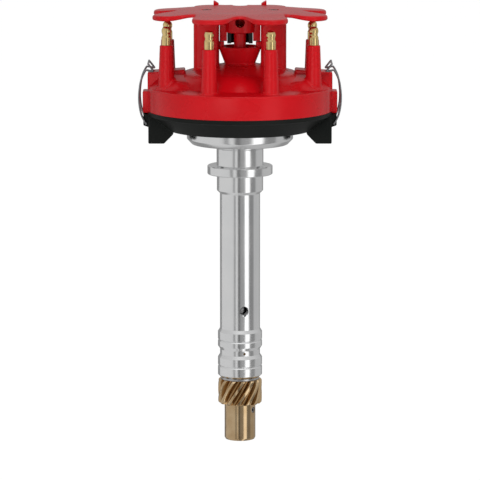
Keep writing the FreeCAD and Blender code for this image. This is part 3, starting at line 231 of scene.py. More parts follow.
floor_mesh = bpy.data.meshes.new("floor")
sheet = bmesh.new()
bmesh.ops.create_grid(sheet, x_segments=1, y_segments=1, size=FLOOR_SIZE,
                      matrix=Matrix.Translation((0, 0, cad_low.z)))
sheet.to_mesh(floor_mesh)
sheet.free()
floor = new_object("floor", floor_mesh)
floor.visible_glossy = False

floor_material = bpy.data.materials.new("pale_floor")
tree = empty_tree(floor_material)
paint = add_node(tree, "ShaderNodeBsdfDiffuse", {"Color": FLOOR_PAINT})
glow = add_node(tree, "ShaderNodeEmission", {"Color": WHITE, "Strength": FLOOR_GLOW})
clear = add_node(tree, "ShaderNodeBsdfTransparent")
path = add_node(tree, "ShaderNodeLightPath")
side = add_node(tree, "ShaderNodeNewGeometry")
blend = add_node(tree, "ShaderNodeMixShader",
                 {0: 1 - FLOOR_SHADOW, 1: paint.outputs[0], 2: glow.outputs[0]})
chosen = add_node(tree, "ShaderNodeMixShader",
                  {0: path.outputs["Is Camera Ray"], 1: paint.outputs[0], 2: blend.outputs[0]})
surface = add_node(tree, "ShaderNodeMixShader",
                   {0: side.outputs["Backfacing"], 1: chosen.outputs[0], 2: clear.outputs[0]})
add_node(tree, "ShaderNodeOutputMaterial", {"Surface": surface.outputs[0]})
floor_mesh.materials.append(floor_material)
print("lamps:", len(LAMPS), "- floor at", round(cad_low.z / MM, 1), "mm")

# %% [markdown]
# ## Shared effects as node groups
#
# Real surfaces are never quite even, and all finishes here share three effects: a lighter colour along
# the edges, partly wear and partly a painted highlight where edges catch light, a slow unevenness in
# gloss and colour, and the fine rings that a lathe leaves. Each is a node group, built once, and gives a
# mask or a height that a material uses with its own amounts. The edge mask compares the true normal
# with one that is rounded over a small distance, so it needs no texture map and works on any mesh.

# %% Build the node groups
def new_group(name, inputs, outputs):
    """An empty shader group with number inputs and outputs, and its two end nodes."""
    group = bpy.data.node_groups.new(name, "ShaderNodeTree")
    for label, default in inputs.items():
        socket = group.interface.new_socket(label, in_out="INPUT", socket_type="NodeSocketFloat")
        socket.default_value = default
    for label in outputs:
        group.interface.new_socket(label, in_out="OUTPUT", socket_type="NodeSocketFloat")
    return group, group.nodes.new("NodeGroupInput"), group.nodes.new("NodeGroupOutput")


WEAR_AND_HIGHLIGHT_STARTS = 0.995
WEAR_AND_HIGHLIGHT_FULL = 0.90


def build_edge_wear_and_highlight():
    """Mask for the lighter edge colour, partly wear and partly painted highlight: 1 along edges and 0
    on open faces, broken up by noise. The product of the true and the rounded normal is 1 on a flat
    face and falls towards an edge."""
    group, given, result = new_group("edge_wear_and_highlight", {"Width": 0.0006, "Breakup": 300.0}, ["Mask"])
    rounded = add_node(group, "ShaderNodeBevel", {"Radius": given.outputs["Width"]}, samples=4)
    true_normal = add_node(group, "ShaderNodeNewGeometry").outputs["Normal"]
    likeness = add_node(group, "ShaderNodeVectorMath", {0: rounded.outputs[0], 1: true_normal},
                        operation="DOT_PRODUCT").outputs["Value"]
    edges = add_node(group, "ShaderNodeMapRange",
                     {"Value": likeness, "From Min": WEAR_AND_HIGHLIGHT_STARTS, "From Max": WEAR_AND_HIGHLIGHT_FULL})
    spots = add_node(group, "ShaderNodeTexNoise",
                     {"Vector": add_node(group, "ShaderNodeTexCoord").outputs["Object"],
                      "Scale": given.outputs["Breakup"], "Detail": 3.0})
    kept = add_node(group, "ShaderNodeMapRange",
                    {"Value": spots.outputs[0], "From Min": 0.3, "From Max": 0.6, "To Min": 0.4})
    mask = add_node(group, "ShaderNodeMath", {0: edges.outputs[0], 1: kept.outputs[0]},
                    operation="MULTIPLY")
    group.links.new(mask.outputs[0], result.inputs["Mask"])
    return group


def build_unevenness():
    """Slow: broad soft patches. Fine: a close grain. Both run from 0 to 1."""
    group, given, result = new_group("unevenness", {"Broad": 40.0, "Grain": 1500.0}, ["Slow", "Fine"])
    place = add_node(group, "ShaderNodeTexCoord").outputs["Object"]
    slow = add_node(group, "ShaderNodeTexNoise",
                    {"Vector": place, "Scale": given.outputs["Broad"], "Detail": 4.0})
    spread = add_node(group, "ShaderNodeMapRange",
                      {"Value": slow.outputs[0], "From Min": 0.25, "From Max": 0.75},
                      interpolation_type="SMOOTHSTEP")
    fine = add_node(group, "ShaderNodeTexNoise",
                    {"Vector": place, "Scale": given.outputs["Grain"], "Detail": 2.0})
    group.links.new(spread.outputs[0], result.inputs["Slow"])
    group.links.new(fine.outputs[0], result.inputs["Fine"])
    return group


def build_turning():
    """Rings: the marks of a lathe about the upright axis, on walls and on flat faces alike.
    Radius: the distance from that axis."""
    group, given, result = new_group("turning", {"Rings": 1800.0}, ["Rings", "Radius"])
    place = add_node(group, "ShaderNodeTexCoord").outputs["Object"]
    parts = add_node(group, "ShaderNodeSeparateXYZ", {"Vector": place})
    flat = add_node(group, "ShaderNodeCombineXYZ", {"X": parts.outputs["X"], "Y": parts.outputs["Y"]})
    radius = add_node(group, "ShaderNodeVectorMath", {0: flat.outputs[0]}, operation="LENGTH")
    across = add_node(group, "ShaderNodeCombineXYZ",
                      {"X": radius.outputs["Value"], "Y": parts.outputs["Z"]})
    rings = add_node(group, "ShaderNodeTexNoise",
                     {"Vector": across.outputs[0], "Scale": given.outputs["Rings"], "Detail": 2.0})
    group.links.new(rings.outputs[0], result.inputs["Rings"])
    group.links.new(radius.outputs["Value"], result.inputs["Radius"])
    return group


EDGE_WEAR_AND_HIGHLIGHT = build_edge_wear_and_highlight()
UNEVENNESS = build_unevenness()
TURNING = build_turning()
print("shared effects:", [group.name for group in (EDGE_WEAR_AND_HIGHLIGHT, UNEVENNESS, TURNING)])

# %% [markdown]
# ## One function for every finish
#
# The finishes differ in colour, gloss and in how strong each effect is, not in how they are built. So
# one function makes them all: two colours mixed by the slow unevenness, a third, lighter colour along
# the edges as wear and painted highlight, a roughness that wanders between two values, and a fine
# bump. What is even all over, such as how metallic it is, is set straight on the shader's own sockets.

# %% Write the finish function
def use_group(tree, group, **inputs):
    """A node that stands for a group, with its inputs set."""
    node = tree.nodes.new("ShaderNodeGroup")
    node.node_tree = group
    for name, value in inputs.items():
        node.inputs[name].default_value = value
    return node


FINISHES = {}


def add_finish(slot, name, color, second, edge, rough, bump, metallic=0.0, edge_width=0.5 * MM,
               broad=40.0, rings=None, tint=None, **constants):
    """Adds the material of a slot. `rough` is the roughness at both ends of the slow unevenness and on
    the edges, `bump` the depth of the grain, and `tint` a function that may recolour the base."""
    material = bpy.data.materials.new(name)
    tree = empty_tree(material)
    uneven = use_group(tree, UNEVENNESS, Broad=broad)
    wear_and_highlight = use_group(tree, EDGE_WEAR_AND_HIGHLIGHT, Width=edge_width)
    base = mix_colors(tree, uneven.outputs["Slow"], color, second)
    height = uneven.outputs["Fine"]
    if rings:
        turning = use_group(tree, TURNING, Rings=rings)
        height = turning.outputs["Rings"]
    if tint:
        base = tint(tree, base)
    # Lighter colour along the edges: partly wear, partly a painted highlight where an edge catches light.
    base = mix_colors(tree, wear_and_highlight.outputs["Mask"], base, edge)
    wander = add_node(tree, "ShaderNodeMapRange",
                      {"Value": uneven.outputs["Slow"], "To Min": rough[0], "To Max": rough[1]})
    worn = add_node(tree, "ShaderNodeMix",
                    {0: wear_and_highlight.outputs["Mask"], 2: wander.outputs[0], 3: rough[2]}, data_type="FLOAT")
    relief = add_node(tree, "ShaderNodeBump", {"Height": height, "Distance": bump})
    shader = add_node(tree, "ShaderNodeBsdfPrincipled",
                      {"Base Color": base, "Roughness": worn.outputs[0], "Metallic": metallic,
                       "Normal": relief.outputs[0], **constants})
    add_node(tree, "ShaderNodeOutputMaterial", {"Surface": shader.outputs[0]})
    FINISHES[slot] = material


# %% [markdown]
# ## Plastics and rubber
#
# The cap and the wire retainer are moulded in a bright red glass-filled plastic: glossy enough for a
# pink sheen at grazing angles, with a barely visible moulded skin. The base ring is the same kind of
# plastic in black, and duller.

# %% Make the plastics
add_finish(
    "red_plastic", "moulded_red", (0.48, 0.0025, 0.006), (0.51, 0.0035, 0.008), (0.60, 0.03, 0.04),
    rough=(0.26, 0.29, 0.26), bump=0.003 * MM, edge_width=0.45 * MM,
    **{"Specular IOR Level": 0.22},
)
add_finish(
    "black_plastic", "moulded_black", (0.006, 0.007, 0.0065), (0.010, 0.011, 0.010), (0.03, 0.033, 0.03),
    rough=(0.40, 0.50, 0.35), bump=0.006 * MM,
    **{"Specular IOR Level": 0.08},
)
# The black liner behind the coil column is a dark piece set where there is only shade: painted shade.
add_finish(
    "black_rubber", "black_liner_painted_shade", (0.008, 0.008, 0.008), (0.014, 0.014, 0.014), (0.03, 0.03, 0.03),
    rough=(0.60, 0.75, 0.6), bump=0.010 * MM,
)
add_finish(
    "carbon", "pressed_carbon", (0.018, 0.018, 0.019), (0.03, 0.03, 0.032), (0.07, 0.07, 0.07),
    rough=(0.45, 0.60, 0.35), bump=0.008 * MM,
)
print("plastics:", len(FINISHES))

# %% [markdown]
# ## Metals
#
# The housing is turned from one billet: bright, with rings too fine to count. The gear is cut from
# golden bronze, and painted shade turns the valleys between its teeth brown while the tooth tips stay
# golden. The distance from the axis tells the two apart, and the level keeps the plain hub golden as
# well. The terminals are turned brass, the wire and screws plain steel.

# %% Make the metals
GEAR_VALLEY = 12.6 * MM
GEAR_CREST = 15.2 * MM
TEETH_START = -169.2 * MM
HUB_BLEND = 0.5 * MM
# Brown of the painted shade in the valleys between the teeth.
VALLEY_SHADE_COLOR = (0.36, 0.21, 0.085)


def valley_shade(tree, base):
    """Painted shade: darkens the bronze towards the axis, where the valleys between the teeth lie."""
    radius = use_group(tree, TURNING).outputs["Radius"]
    share = add_node(tree, "ShaderNodeMapRange",
                     {"Value": radius, "From Min": GEAR_VALLEY, "From Max": GEAR_CREST})
    place = add_node(tree, "ShaderNodeTexCoord").outputs["Object"]
    level = add_node(tree, "ShaderNodeSeparateXYZ", {"Vector": place}).outputs["Z"]
    below = add_node(tree, "ShaderNodeMapRange",
                     {"Value": level, "From Min": TEETH_START, "From Max": TEETH_START - HUB_BLEND})
    kept = add_node(tree, "ShaderNodeMath", {0: share.outputs[0], 1: below.outputs[0]},
                    operation="MAXIMUM")
    return mix_colors(tree, kept.outputs[0], VALLEY_SHADE_COLOR, base)


add_finish(
    "machined_aluminium", "turned_aluminium", (0.74, 0.745, 0.75), (0.80, 0.80, 0.80), (0.88, 0.88, 0.88),
    rough=(0.15, 0.22, 0.20), bump=0.0006 * MM, metallic=1.0, rings=1800.0, edge_width=0.3 * MM,
)
add_finish(
    "bronze", "cut_bronze", (0.57, 0.42, 0.25), (0.47, 0.32, 0.17), (0.88, 0.72, 0.48),
    rough=(0.12, 0.18, 0.14), bump=0.004 * MM, metallic=1.0, broad=120.0, edge_width=0.35 * MM,
    tint=valley_shade,
)
add_finish(
    "brass", "turned_brass", (0.84, 0.65, 0.31), (0.74, 0.54, 0.23), (0.92, 0.78, 0.50),
    rough=(0.16, 0.24, 0.18), bump=0.003 * MM, metallic=1.0, broad=200.0, edge_width=0.3 * MM,
)
FINISHES["brass_cage"] = FINISHES["brass"]
add_finish(
    "bearing_steel", "ground_steel", (0.56, 0.57, 0.58), (0.62, 0.62, 0.63), (0.75, 0.75, 0.75),
    rough=(0.15, 0.22, 0.15), bump=0.001 * MM, metallic=1.0, edge_width=0.3 * MM,
)
add_finish(
    "shaft_steel", "shaft_steel_finish", (0.40, 0.40, 0.41), (0.50, 0.50, 0.50), (0.70, 0.70, 0.70),
    rough=(0.24, 0.34, 0.2), bump=0.0015 * MM, metallic=1.0, rings=1500.0, edge_width=0.3 * MM,
)
add_finish(
    "spring_steel", "oiled_spring_steel", (0.24, 0.24, 0.25), (0.32, 0.32, 0.33), (0.55, 0.55, 0.55),
    rough=(0.28, 0.40, 0.25), bump=0.002 * MM, metallic=1.0, edge_width=0.2 * MM,
)
add_finish(
    "screw_steel", "black_oxide_steel", (0.03, 0.03, 0.032), (0.05, 0.05, 0.052), (0.35, 0.35, 0.36),
    rough=(0.35, 0.45, 0.3), bump=0.003 * MM, metallic=1.0, edge_width=0.3 * MM,
)
add_finish(
    "bail_wire", "drawn_wire", (0.22, 0.22, 0.23), (0.30, 0.30, 0.31), (0.5, 0.5, 0.5),
    rough=(0.26, 0.36, 0.25), bump=0.002 * MM, metallic=1.0, broad=300.0, edge_width=0.2 * MM,
)
print("finishes:", len(FINISHES))

# %% [markdown]
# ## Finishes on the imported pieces
#
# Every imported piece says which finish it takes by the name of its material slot. The inner pieces,
# such as the bearing, the rotor and the brush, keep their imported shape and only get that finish. The
# outer pieces are modelled again further down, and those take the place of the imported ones.

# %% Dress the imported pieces
for node in nodes.values():
    slot_name = node.data.materials[0].name
    for slot in node.material_slots:
        slot.material = FINISHES[slot_name]
print("dressed:", len(nodes))

# %% [markdown]
# ## Turning a profile
#
# Most of these pieces are round, on a lathe or in a mould. Their outline is drawn once as pairs of a
# radius and a level, in millimetres, and spun about the upright axis. A third number on a corner is
# the radius of its rounding: real edges are never sharp, and the small arcs are what catches light.

# %% Helpers for turned shapes
ROUND_STEPS = 4
SPIN_STEPS = 128
SMALL_STEPS = 48
SMOOTH_ANGLE = math.radians(32)
WELD = 0.001 * MM
Z_AXIS = (0, 0, 1)


def soften(corners):
    """The outline with each rounded corner replaced by an arc."""
    outline = []
    for index, (radius, level, *rounding) in enumerate(corners):
        corner = Vector((radius, level))
        if not rounding:
            outline.append(corner)
            continue
        back = (Vector(corners[index - 1][:2]) - corner).normalized()
        ahead = (Vector(corners[(index + 1) % len(corners)][:2]) - corner).normalized()
        half = back.angle(ahead) / 2
        reach = rounding[0] / math.tan(half)
        centre = corner + (back + ahead).normalized() * (rounding[0] / math.sin(half))
        first = (corner + back * reach - centre).normalized()
        last = (corner + ahead * reach - centre).normalized()
        turns = [first.slerp(last, step / ROUND_STEPS) for step in range(ROUND_STEPS + 1)]
        outline += [centre + turn * rounding[0] for turn in turns]
    return outline


def spin_outline(corners, closed=False, steps=SPIN_STEPS):
    """A bmesh turned from an outline of (radius, level) in millimetres."""
    bm = bmesh.new()
    outline = soften(corners)
    verts = [bm.verts.new((point.x * MM, 0, point.y * MM)) for point in outline]
    pairs = list(zip(verts, verts[1:]))
    if closed:
        pairs.append((verts[-1], verts[0]))
    edges = [bm.edges.new(pair) for pair in pairs]
    bmesh.ops.spin(bm, geom=verts + edges, angle=FULL_TURN, steps=steps, axis=Z_AXIS,
                   cent=(0, 0, 0), use_merge=True)
    bmesh.ops.remove_doubles(bm, verts=bm.verts, dist=WELD)
    bmesh.ops.recalc_face_normals(bm, faces=bm.faces)
    return bm


def shifted(bm, x=0.0, y=0.0, z=0.0, turn=0.0):
    """Turns a bmesh about the upright axis by degrees, then moves it by millimetres."""
    matrix = Matrix.Translation((x * MM, y * MM, z * MM)) @ Matrix.Rotation(math.radians(turn), 4, "Z")
    bmesh.ops.transform(bm, matrix=matrix, verts=bm.verts)
    return bm


def joined(*meshes):
    """One bmesh that holds all the given ones."""
    whole = bmesh.new()
    for bm in meshes:
        mesh = bpy.data.meshes.new("part")
        bm.to_mesh(mesh)
        bm.free()
        whole.from_mesh(mesh)
        bpy.data.meshes.remove(mesh)
    return whole


def as_object(name, bm, finish=None):
    """Turns a bmesh into an object with smooth faces and sharp creases."""
    mesh = bpy.data.meshes.new(name)
    bm.to_mesh(mesh)
    bm.free()
    piece = new_object(name, mesh)
    if finish:
        mesh.materials.append(FINISHES[finish])
    mesh.shade_smooth()
    mesh.set_sharp_from_angle(angle=SMOOTH_ANGLE)
    return piece


def add_piece(name, bm, finish, body, *replaced):
    """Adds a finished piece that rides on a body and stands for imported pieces."""
    piece = as_object(name, bm, finish)
    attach(piece, body)
    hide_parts(*replaced)
    corners = [Vector(corner) for corner in piece.bound_box]
    low = [round(min(corner[axis] for corner in corners) / MM, 1) for axis in range(3)]
    high = [round(max(corner[axis] for corner in corners) / MM, 1) for axis in range(3)]
    print(name, "- faces:", len(piece.data.polygons), "- box in mm:", low, high)


def cut_away(bm, *cutters):
    """The first bmesh with the others cut out of it."""
    piece = as_object("blank", bm)
    tools = [as_object(f"cutter_{index}", cutter) for index, cutter in enumerate(cutters)]
    for tool in tools:
        modifier = piece.modifiers.new("cut", "BOOLEAN")
        modifier.object = tool
        modifier.operation = "DIFFERENCE"
        modifier.solver = "MANIFOLD"
    evaluated = piece.evaluated_get(bpy.context.evaluated_depsgraph_get())
    result = bmesh.new()
    result.from_mesh(evaluated.to_mesh())
    evaluated.to_mesh_clear()
    for thing in [piece, *tools]:
        mesh = thing.data
        bpy.data.objects.remove(thing)
        bpy.data.meshes.remove(mesh)
    return result


def rod(radius, low, high, x=0.0, y=0.0):
    """An upright rod between two levels, in millimetres."""
    bm = bmesh.new()
    bmesh.ops.create_cone(bm, cap_ends=True, segments=SMALL_STEPS, radius1=radius * MM,
                          radius2=radius * MM, depth=(high - low) * MM)
    return shifted(bm, x, y, (low + high) / 2)


def drill(radii, reach, level, degrees):
    """A lying cutter between two distances from the axis, with a radius at each end."""
    inner, outer = reach
    lying = Matrix.Rotation(math.pi / 2, 4, "Y")
    bm = bmesh.new()
    bmesh.ops.create_cone(bm, cap_ends=True, segments=SMALL_STEPS, radius1=radii[0] * MM,
                          radius2=radii[1] * MM, depth=(outer - inner) * MM,
                          matrix=Matrix.Translation(((inner + outer) / 2 * MM, 0, 0)) @ lying)
    return shifted(bm, z=level, turn=degrees)


def make_box(x, y, z):
    """A box between three pairs of limits, in millimetres."""
    bm = bmesh.new()
    bmesh.ops.create_cube(bm, size=1.0)
    bmesh.ops.scale(bm, verts=bm.verts, vec=[(high - low) * MM for low, high in (x, y, z)])
    return shifted(bm, sum(x) / 2, sum(y) / 2, sum(z) / 2)


def verts_in(items):
    """The points among the results of a bmesh operation."""
    return [item for item in items if isinstance(item, bmesh.types.BMVert)]


print("steps of a full turn:", SPIN_STEPS)

# %% [markdown]
# ## The housing
#
# The housing is one billet of aluminium: a shallow bowl at the top, a neck, the hold-down collar and
# the long stem with its two pilot bands. A lathe makes it, so a spun outline does too. Its edges get
# the tiny breaks that a machinist leaves. The oil hole and the vent hole are drilled, so they are cut
# out of the finished shape. A hole is written as the radii at its two ends, the distances from the
# axis that it lies between, and its level.

# %% Turn the housing
STEM_END = -149.5
BAND = 16.15
STEM = 14.6


def groove(level):
    """The corners of the groove around a pilot band."""
    return [(BAND, level - 0.8, 0.15), (BAND - 0.6, level, 0.2), (BAND, level + 0.8, 0.15)]


HOUSING_OUTSIDE = [
    (8.6, STEM_END), (BAND - 1.9, STEM_END, 0.3), (BAND, STEM_END + 1.9, 0.4),
    *groove(STEM_END + 8.5), (BAND, STEM_END + 14.7, 0.35), (STEM, STEM_END + 17.1, 0.5),
    (STEM, STEM_END + 20.8, 0.5), (BAND, STEM_END + 23.2, 0.35), *groove(STEM_END + 27.5),
    (BAND, STEM_END + 33.7, 0.35), (STEM, STEM_END + 36.1, 0.5),
    (STEM, -14.0, 0.5), (16.8, -11.8, 0.4), (16.8, 0.0, 0.4),
    (23.15, 0.0, 0.15), (23.65, 0.5, 0.15), (23.65, 5.9, 0.15), (23.15, 6.4, 0.15),
    (17.0, 6.4, 0.5), (17.0, 18.7, 0.15), (17.5, 19.2, 0.15), (17.5, 21.6, 0.15),
    (18.0, 22.1, 0.2), (34.8, 22.1, 1.2), (38.5, 26.0, 1.2), (38.5, 38.0, 0.3),
]
HOUSING_INSIDE = [
    (30.5, 38.0, 0.3), (30.5, 27.1, 0.8), (14.0, 27.1, 0.2), (14.0, 24.2), (15.0, 24.2), (15.0, 23.0),
    (14.0, 23.0), (14.0, 15.0), (11.6, 15.0), (11.6, 14.0), (8.6, 14.0),
]
HOLE_DEGREES = -77
OIL_HOLE = ((3.0, 3.0), (5.0, 25.0), -99.2)
COUNTERSINK = ((2.3, 5.7), (13.2, 16.6), -99.2)
VENT_HOLE = ((0.9, 0.9), (5.0, 25.0), -130.6)

billet = spin_outline(HOUSING_OUTSIDE + HOUSING_INSIDE, closed=True, steps=192)
drills = [drill(*hole, HOLE_DEGREES) for hole in (OIL_HOLE, COUNTERSINK, VENT_HOLE)]
add_piece("housing_billet", cut_away(billet, *drills), "machined_aluminium", "housing", "housing")

# %% [markdown]
# ## The base ring
#
# Under the cap sits a black moulded ring: a cone that widens upwards to a rim, with a foot and a lug
# at each side. The ring is spun. The feet and lugs are plates: each is a flat outline, half the width
# it gets, and the rounding of its edges, as a mould would round them.

# %% Model the base ring
RING_OUTLINE = [
    (38.8, 32.4, 0.4), (51.5, 32.4, 1.0), (64.0, 43.0, 0.8), (66.5, 43.5, 0.35), (66.5, 46.5, 0.5),
    (62.8, 46.5), (62.8, 49.0, 0.4), (60.3, 49.0, 0.4), (60.3, 43.5), (49.8, 35.8, 1.0),
    (41.9, 35.8), (41.9, 41.5, 0.4), (31.5, 41.5, 0.3), (31.5, 38.0), (38.8, 38.0),
]
FOOT_OUTLINE = [
    (66.2, 43.5), (66.2, 23.2), (54.8, 23.2), (48.0, 30.2), (48.0, 33.8), (52.2, 34.8), (62.3, 43.5),
]
FOOT = (FOOT_OUTLINE, 11.0, 0.9)
LUG = ([(65.3, 35.0), (69.7, 36.6), (69.7, 44.5), (65.3, 44.5)], 11.0, 0.6)


def thick_plate(outline, half_width, rounding, segments=3):
    """A flat outline of (across, level) in millimetres, thickened along Y, with rounded edges."""
    bm = bmesh.new()
    verts = [bm.verts.new((x * MM, -half_width * MM, z * MM)) for x, z in outline]
    face = bm.faces.new(verts)
    grown = bmesh.ops.extrude_face_region(bm, geom=[face])["geom"]
    bmesh.ops.translate(bm, vec=(0, 2 * half_width * MM, 0), verts=verts_in(grown))
    bmesh.ops.recalc_face_normals(bm, faces=bm.faces)
    bmesh.ops.bevel(bm, geom=bm.edges, offset=rounding * MM, offset_type="OFFSET", affect="EDGES",
                    segments=segments, profile=0.5, material=-1, clamp_overlap=True)
    return bm


def both_sides(make):
    """What the function makes for the right side, and its mirror image at the left."""
    right = make()
    left = make()
    bmesh.ops.scale(left, vec=(-1, 1, 1), verts=left.verts)
    bmesh.ops.reverse_faces(left, faces=left.faces)
    return [right, left]


def both_plates(*measures):
    """A thick plate at the right side and its mirror image at the left."""
    return both_sides(lambda: thick_plate(*measures))


def rectangle(left, right, bottom, top):
    """The outline of an upright rectangle, for a thick plate."""
    return [(left, bottom), (right, bottom), (right, top), (left, top)]


ring_parts = [spin_outline(RING_OUTLINE, closed=True), *both_plates(*FOOT), *both_plates(*LUG)]
add_piece("base_ring", joined(*ring_parts), "black_plastic", "housing", "cap_base_ring")

# %% [markdown]
# ## The cap
#
# The cap is one moulding, and it is modelled the way its mould was cut: a spun shell, and on it eight
# towers, two posts for the wire retainer, a cup with a column in the middle, and at each side a raised
# pad with a boss for the bail. Towers and posts run out into the shell with a small fillet, made by
# letting their feet flare, because a moulding has no sharp inner corners.

# %% Model the cap's shell
SKIRT = 66.6
SEAM = 46.5
CROWN = 80.6
DOME_EDGE = 11.8
CAP_OUTLINE = [
    (63.1, SEAM), (SKIRT, SEAM, 0.4), (SKIRT, 63.4, 1.6), (53.2, 65.0, 1.0), (49.6, 68.2, 1.5),
    (42.2, 74.4, 20.0), (DOME_EDGE, CROWN, 3.0), (0.0, CROWN),
]
CAP_INSIDE = [
    (0.0, 65.0), (7.0, 65.0, 0.5), (7.3, 77.1), (11.8, 77.1), (41.2, 70.9), (46.1, 64.7),
    (47.5, 61.7), (63.1, 59.9, 1.5),
]
cap_parts = [spin_outline(CAP_OUTLINE + CAP_INSIDE, closed=True, steps=160)]
print("faces of the shell:", len(cap_parts[0].faces))

# %% [markdown]
# Towers and pads have to meet the cap's outside, so two functions give its level at any place: one for
# the plain cover, from the dome down to the skirt, and one for the raised pad at each side. The pad
# falls off outwards along a soft curve, and towards its two ends it fades into the cover.

# %% Describe the cap's outside
COVER = [(36.0, 75.6), (42.2, 74.4), (49.6, 68.2), (53.2, 65.0), (SKIRT, 63.4)]
PAD_TOP = 74.8
PAD_SLOPE = 0.235
PAD_FLAT = 9.5
PAD_SOFTNESS = 5.0
PAD_BREAK = 52.0
PAD_FALL = 1.12
PAD_EASE = 9.0
PAD_FADE = (27.0, 44.0)
PAD_COVER = 0.8


def smooth_step(low, high, value):
    """0 below the low value, 1 above the high one, and a soft S-curve between."""
    share = min(1.0, max(0.0, (value - low) / (high - low)))
    return share * share * (3 - 2 * share)


def cover_height(x, y):
    """The level of the plain cap's outside from the dome to the skirt, in millimetres."""
    level = COVER[0][1]
    for (near, high), (far, low) in zip(COVER, COVER[1:]):
        share = min(1.0, max(0.0, (math.hypot(x, y) - near) / (far - near)))
        level += (low - high) * share
    return level


def pad_height(x, y):
    """The level of the raised pad at each side, in millimetres."""
    beyond = abs(y) - PAD_FLAT
    fall = PAD_SLOPE * (beyond + math.hypot(beyond, PAD_SOFTNESS)) / 2
    run = max(0.0, math.hypot(x, y) - PAD_BREAK)
    pad = PAD_TOP - fall - PAD_FALL * run * run / (run + PAD_EASE)
    cover = cover_height(x, y)
    return pad + (cover - PAD_COVER - pad) * smooth_step(*PAD_FADE, abs(y))


print("level of the pad and of the cover, in mm:", round(pad_height(45, 0), 1),
      round(cover_height(45, 0), 1))

# %% [markdown]
# A tower is a slim cone with a flared foot and a softly rounded mouth. Four of the eight stand on the
# flat deck, and the two at each side on the raised pad, so those get their foot higher up. The lower
# part of a tower has many thin rings, since only points can be pushed outwards to form the fillet.

# %% Add the towers
TOWERS = 8
TOWER_CIRCLE = 57.0
TOWER_FOOT = 61.5
TOWER_DECK = 65.2
TOWER_TOP = 95.7
DECK_RADIUS = 5.9
TOP_RADIUS = 4.75
TOWER_FLARE = 1.5
SLICE = 0.35
TOWER_SLICES = 46


def tower_degrees(index):
    """The direction of a tower from the axis."""
    return -90 + (index + 0.5) * 360 / TOWERS


def tower_place(index):
    """Where a tower stands, in millimetres."""
    angle = math.radians(tower_degrees(index))
    return TOWER_CIRCLE * math.cos(angle), TOWER_CIRCLE * math.sin(angle)


def flare_foot(bm, reach, ground, centre, core=(0.0, 0.0)):
    """Pushes the lower end of a pillar outwards, as a fillet that follows the ground around it."""
    for vert in bm.verts:
        x, y, z = vert.co / MM
        share = min(1.0, max(0.0, 1 - (z - ground(x, y)) / reach))
        away = Vector((x - centre[0], y - centre[1], 0))
        for axis in (0, 1):
            away[axis] = math.copysign(max(0.0, abs(away[axis]) - core[axis]), away[axis])
        vert.co += away.normalized() * reach * (1 - math.sqrt(1 - share * share)) * MM
    return bm


def make_tower(index):
    """A tower with its foot on the ground that lies there."""
    x, y = tower_place(index)
    ground = pad_height if abs(y) < abs(x) else cover_height
    taper = (DECK_RADIUS - TOP_RADIUS) / (TOWER_TOP - TOWER_DECK)
    levels = [TOWER_FOOT + SLICE * step for step in range(TOWER_SLICES)]
    wall = [(DECK_RADIUS - taper * (level - TOWER_DECK), level) for level in levels]
    outline = [(0, TOWER_FOOT), *wall, (TOP_RADIUS, TOWER_TOP, 0.7), (3.5, TOWER_TOP, 0.3),
               (3.2, TOWER_TOP - 1.0), (0, TOWER_TOP - 1.0)]
    return flare_foot(shifted(spin_outline(outline, steps=SMALL_STEPS), x, y), TOWER_FLARE, ground, (x, y))


cap_parts += [make_tower(index) for index in range(TOWERS)]
print("towers:", TOWERS)

# %% [markdown]
# The raised pad at each side is a strip of polar grid: a radial line is spun through the pad's width,
# and then each point is lifted to the pad's height, so that the pad melts into the skirt and the dome
# like the moulded one. A second layer closes the strip from below, inside the wall of the cap. Each
# pad carries the boss that the bail hooks over, and a lug stands on the skirt below it.

# %% Add the side pads, bosses and lugs
PAD_INNER = 36.0
PAD_OUTER = SKIRT - 0.6
PAD_SWEEP = math.radians(45)
PAD_RINGS = 40
PAD_STEPS = 100
BOSS_SEGMENTS = 4
BOSS = ([(39.6, 65.2), (63.1, 61.7), (66.6, 61.7), (66.6, 74.8), (39.6, 76.8)], 9.5, 1.3, BOSS_SEGMENTS)
CAP_LUG = (rectangle(64.5, 70.2, 45.2, 61.0), 8.0, 0.9)


def make_pad():
    """The raised pad at the right side, as a closed shell."""
    bm = bmesh.new()
    width = PAD_OUTER - PAD_INNER
    verts = [
        bm.verts.new(((PAD_INNER + width * ring / PAD_RINGS) * MM, 0, 0)) for ring in range(PAD_RINGS + 1)
    ]
    edges = [bm.edges.new(pair) for pair in zip(verts, verts[1:])]
    bmesh.ops.rotate(bm, verts=verts, cent=(0, 0, 0), matrix=Matrix.Rotation(-PAD_SWEEP, 3, "Z"))
    bmesh.ops.spin(bm, geom=verts + edges, angle=2 * PAD_SWEEP, steps=PAD_STEPS, axis=Z_AXIS,
                   cent=(0, 0, 0))
    bmesh.ops.remove_doubles(bm, verts=bm.verts, dist=WELD)
    for vert in bm.verts:
        x, y = vert.co.xy / MM
        vert.co.z = max(pad_height(x, y), cover_height(x, y) - PAD_COVER) * MM
    for vert in verts_in(bmesh.ops.duplicate(bm, geom=bm.faces[:])["geom"]):
        vert.co.z = (cover_height(*vert.co.xy / MM) - 2 * PAD_COVER) * MM
    bmesh.ops.bridge_loops(bm, edges=[edge for edge in bm.edges if edge.is_boundary])
    bmesh.ops.recalc_face_normals(bm, faces=bm.faces)
    return bm


cap_parts += both_sides(make_pad)
print("faces of a pad:", len(cap_parts[-1].faces))
cap_parts += both_plates(*BOSS) + both_plates(*CAP_LUG)

# %% [markdown]
# The two posts carry the wire retainer. A post is a block with well-rounded upright edges; its lower
# end is cut into thin slices, and the slices are pushed outwards to form the fillet on the dome.

